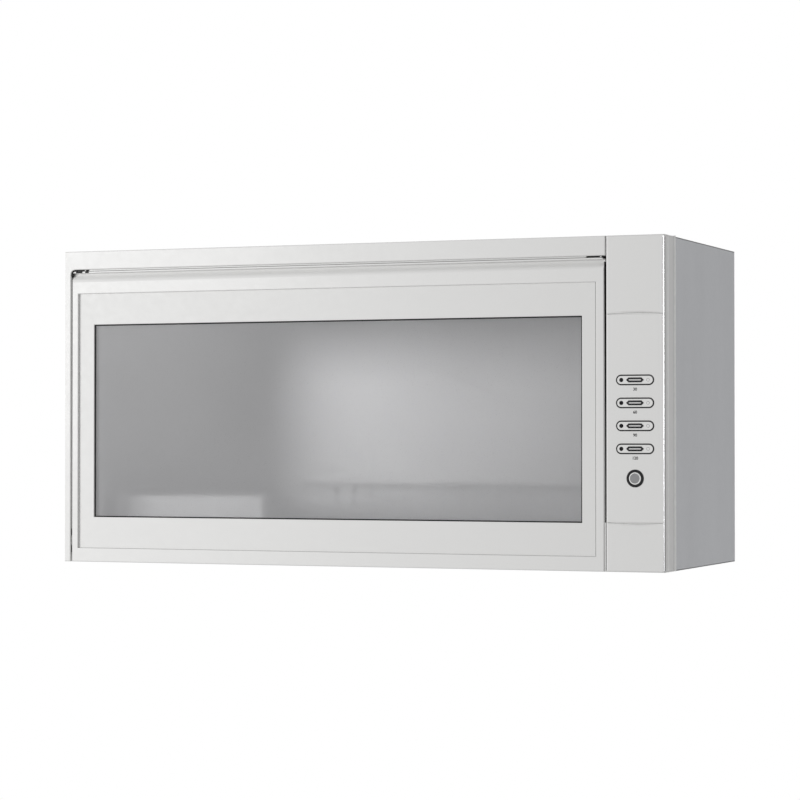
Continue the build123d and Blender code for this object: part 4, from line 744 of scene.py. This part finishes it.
def key_numbers():
    """A plain number below each key."""
    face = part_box("control_fascia")[0].y
    for number, words in zip(KEYS, KEY_NUMBERS):
        middle = middle_of(f"key_{number}")
        text = bpy.data.curves.new("number", "FONT")
        text.body = words
        text.align_x = "CENTER"
        text.align_y = "CENTER"
        text.size = NUMBER_HEIGHT
        text.offset = NUMBER_WEIGHT
        text.extrude = NUMBER_RELIEF
        shape = bpy.data.objects.new("number", text)
        bpy.context.scene.collection.objects.link(shape)
        bpy.context.view_layer.update()
        mesh = bpy.data.meshes.new_from_object(shape.evaluated_get(bpy.context.evaluated_depsgraph_get()))
        bpy.data.objects.remove(shape)
        bpy.data.curves.remove(text)
        name = f"key_{number}_number"
        mesh.name = name
        for vertex in mesh.vertices:
            across, up, out = vertex.co
            vertex.co = (middle.x + across, face - NUMBER_RELIEF / 2 - out, middle.y - NUMBER_DROP + up)
        mesh.materials.clear()
        new_piece(name, mesh, "cabinet", "black_plastic")


def floor():
    """A pale round floor that fades out at its edge."""
    low, high = cad_box
    mesh = bmesh.new()
    bmesh.ops.create_circle(mesh, cap_ends=True, segments=FLOOR_SIDES, radius=FLOOR_RADIUS)
    data = bpy.data.meshes.new("floor")
    mesh.to_mesh(data)
    mesh.free()
    made = bpy.data.objects.new("floor", data)
    made.location = ((low.x + high.x) / 2, (low.y + high.y) / 2, low.z - FLOOR_DROP)
    bpy.context.scene.collection.objects.link(made)
    look = Look("floor", FLOOR_COLOUR, Roughness=FLOOR_ROUGHNESS)
    distance = look.node("ShaderNodeVectorMath", {"Vector": look.place}, operation="LENGTH").outputs["Value"]
    fade = look.node("ShaderNodeMapRange", {"Value": distance, "From Min": FLOOR_FADE_START,
                                            "From Max": FLOOR_RADIUS}, interpolation_type="SMOOTHSTEP")
    clear = look.nodes.new("ShaderNodeBsdfTransparent")
    mix = look.nodes.new("ShaderNodeMixShader")
    look.links.new(fade.outputs["Result"], mix.inputs["Fac"])
    look.links.new(look.shader.outputs["BSDF"], mix.inputs[1])
    look.links.new(clear.outputs["BSDF"], mix.inputs[2])
    look.links.new(mix.outputs["Shader"], look.nodes["Material Output"].inputs["Surface"])
    data.materials.append(look.material)


def studio_world():
    """White to the eye, in reflections and through glass; a softer even light on the object."""
    world = bpy.data.worlds.new("studio")
    world.use_nodes = True
    bpy.context.scene.world = world
    nodes, links = world.node_tree.nodes, world.node_tree.links
    rays = nodes.new("ShaderNodeLightPath")
    seen = rays.outputs["Is Camera Ray"]
    for ray in ("Is Glossy Ray", "Is Transmission Ray"):
        either = nodes.new("ShaderNodeMath")
        either.operation = "MAXIMUM"
        links.new(seen, either.inputs[0])
        links.new(rays.outputs[ray], either.inputs[1])
        seen = either.outputs["Value"]
    level = nodes.new("ShaderNodeMapRange")
    level.inputs["To Min"].default_value = AMBIENT
    level.inputs["To Max"].default_value = WHITE
    links.new(seen, level.inputs["Value"])
    links.new(level.outputs["Result"], nodes["Background"].inputs["Strength"])
    nodes["Background"].inputs["Color"].default_value = (1, 1, 1, 1)


def soft_light(name, place, size, watts):
    data = bpy.data.lights.new(name, "AREA")
    data.shape = "RECTANGLE"
    data.size, data.size_y = size
    data.energy = watts
    lamp = bpy.data.objects.new(name, data)
    lamp.location = place
    lamp.rotation_euler = (LIGHT_AIM - place).to_track_quat("-Z", "Y").to_euler()
    bpy.context.scene.collection.objects.link(lamp)


def photo_camera():
    turn, rise = math.radians(CAMERA_AZIMUTH), math.radians(CAMERA_ELEVATION)
    back = Vector((math.sin(turn) * math.cos(rise), -math.cos(turn) * math.cos(rise), math.sin(rise)))
    data = bpy.data.cameras.new("camera")
    data.lens = FOCAL_LENGTH
    data.sensor_width = SENSOR_WIDTH
    camera = bpy.data.objects.new("camera", data)
    camera.location = CAMERA_AIM + back * CAMERA_DISTANCE
    camera.rotation_euler = (-back).to_track_quat("-Z", "Y").to_euler()
    bpy.context.scene.collection.objects.link(camera)
    bpy.context.scene.camera = camera


dress_solids()
window_gasket()
lens_rims()
key_hole_shade()
key_edge_shade()
key_marks()
key_numbers()
power_rim()
corner_bumpers()
catch_rollers()
catch_pads()
door_gap_shade()
panel_shade_lines()
fascia_strips_and_highlight()
casing_bead_highlight()
casing_side_shade()
groove_shade_lines()
floor()
studio_world()
soft_light("key_light", KEY_PLACE, KEY_SIZE, KEY_WATTS)
soft_light("edge_light", EDGE_PLACE, EDGE_SIZE, EDGE_WATTS)
photo_camera()
bpy.context.scene.view_settings.view_transform = "Standard"
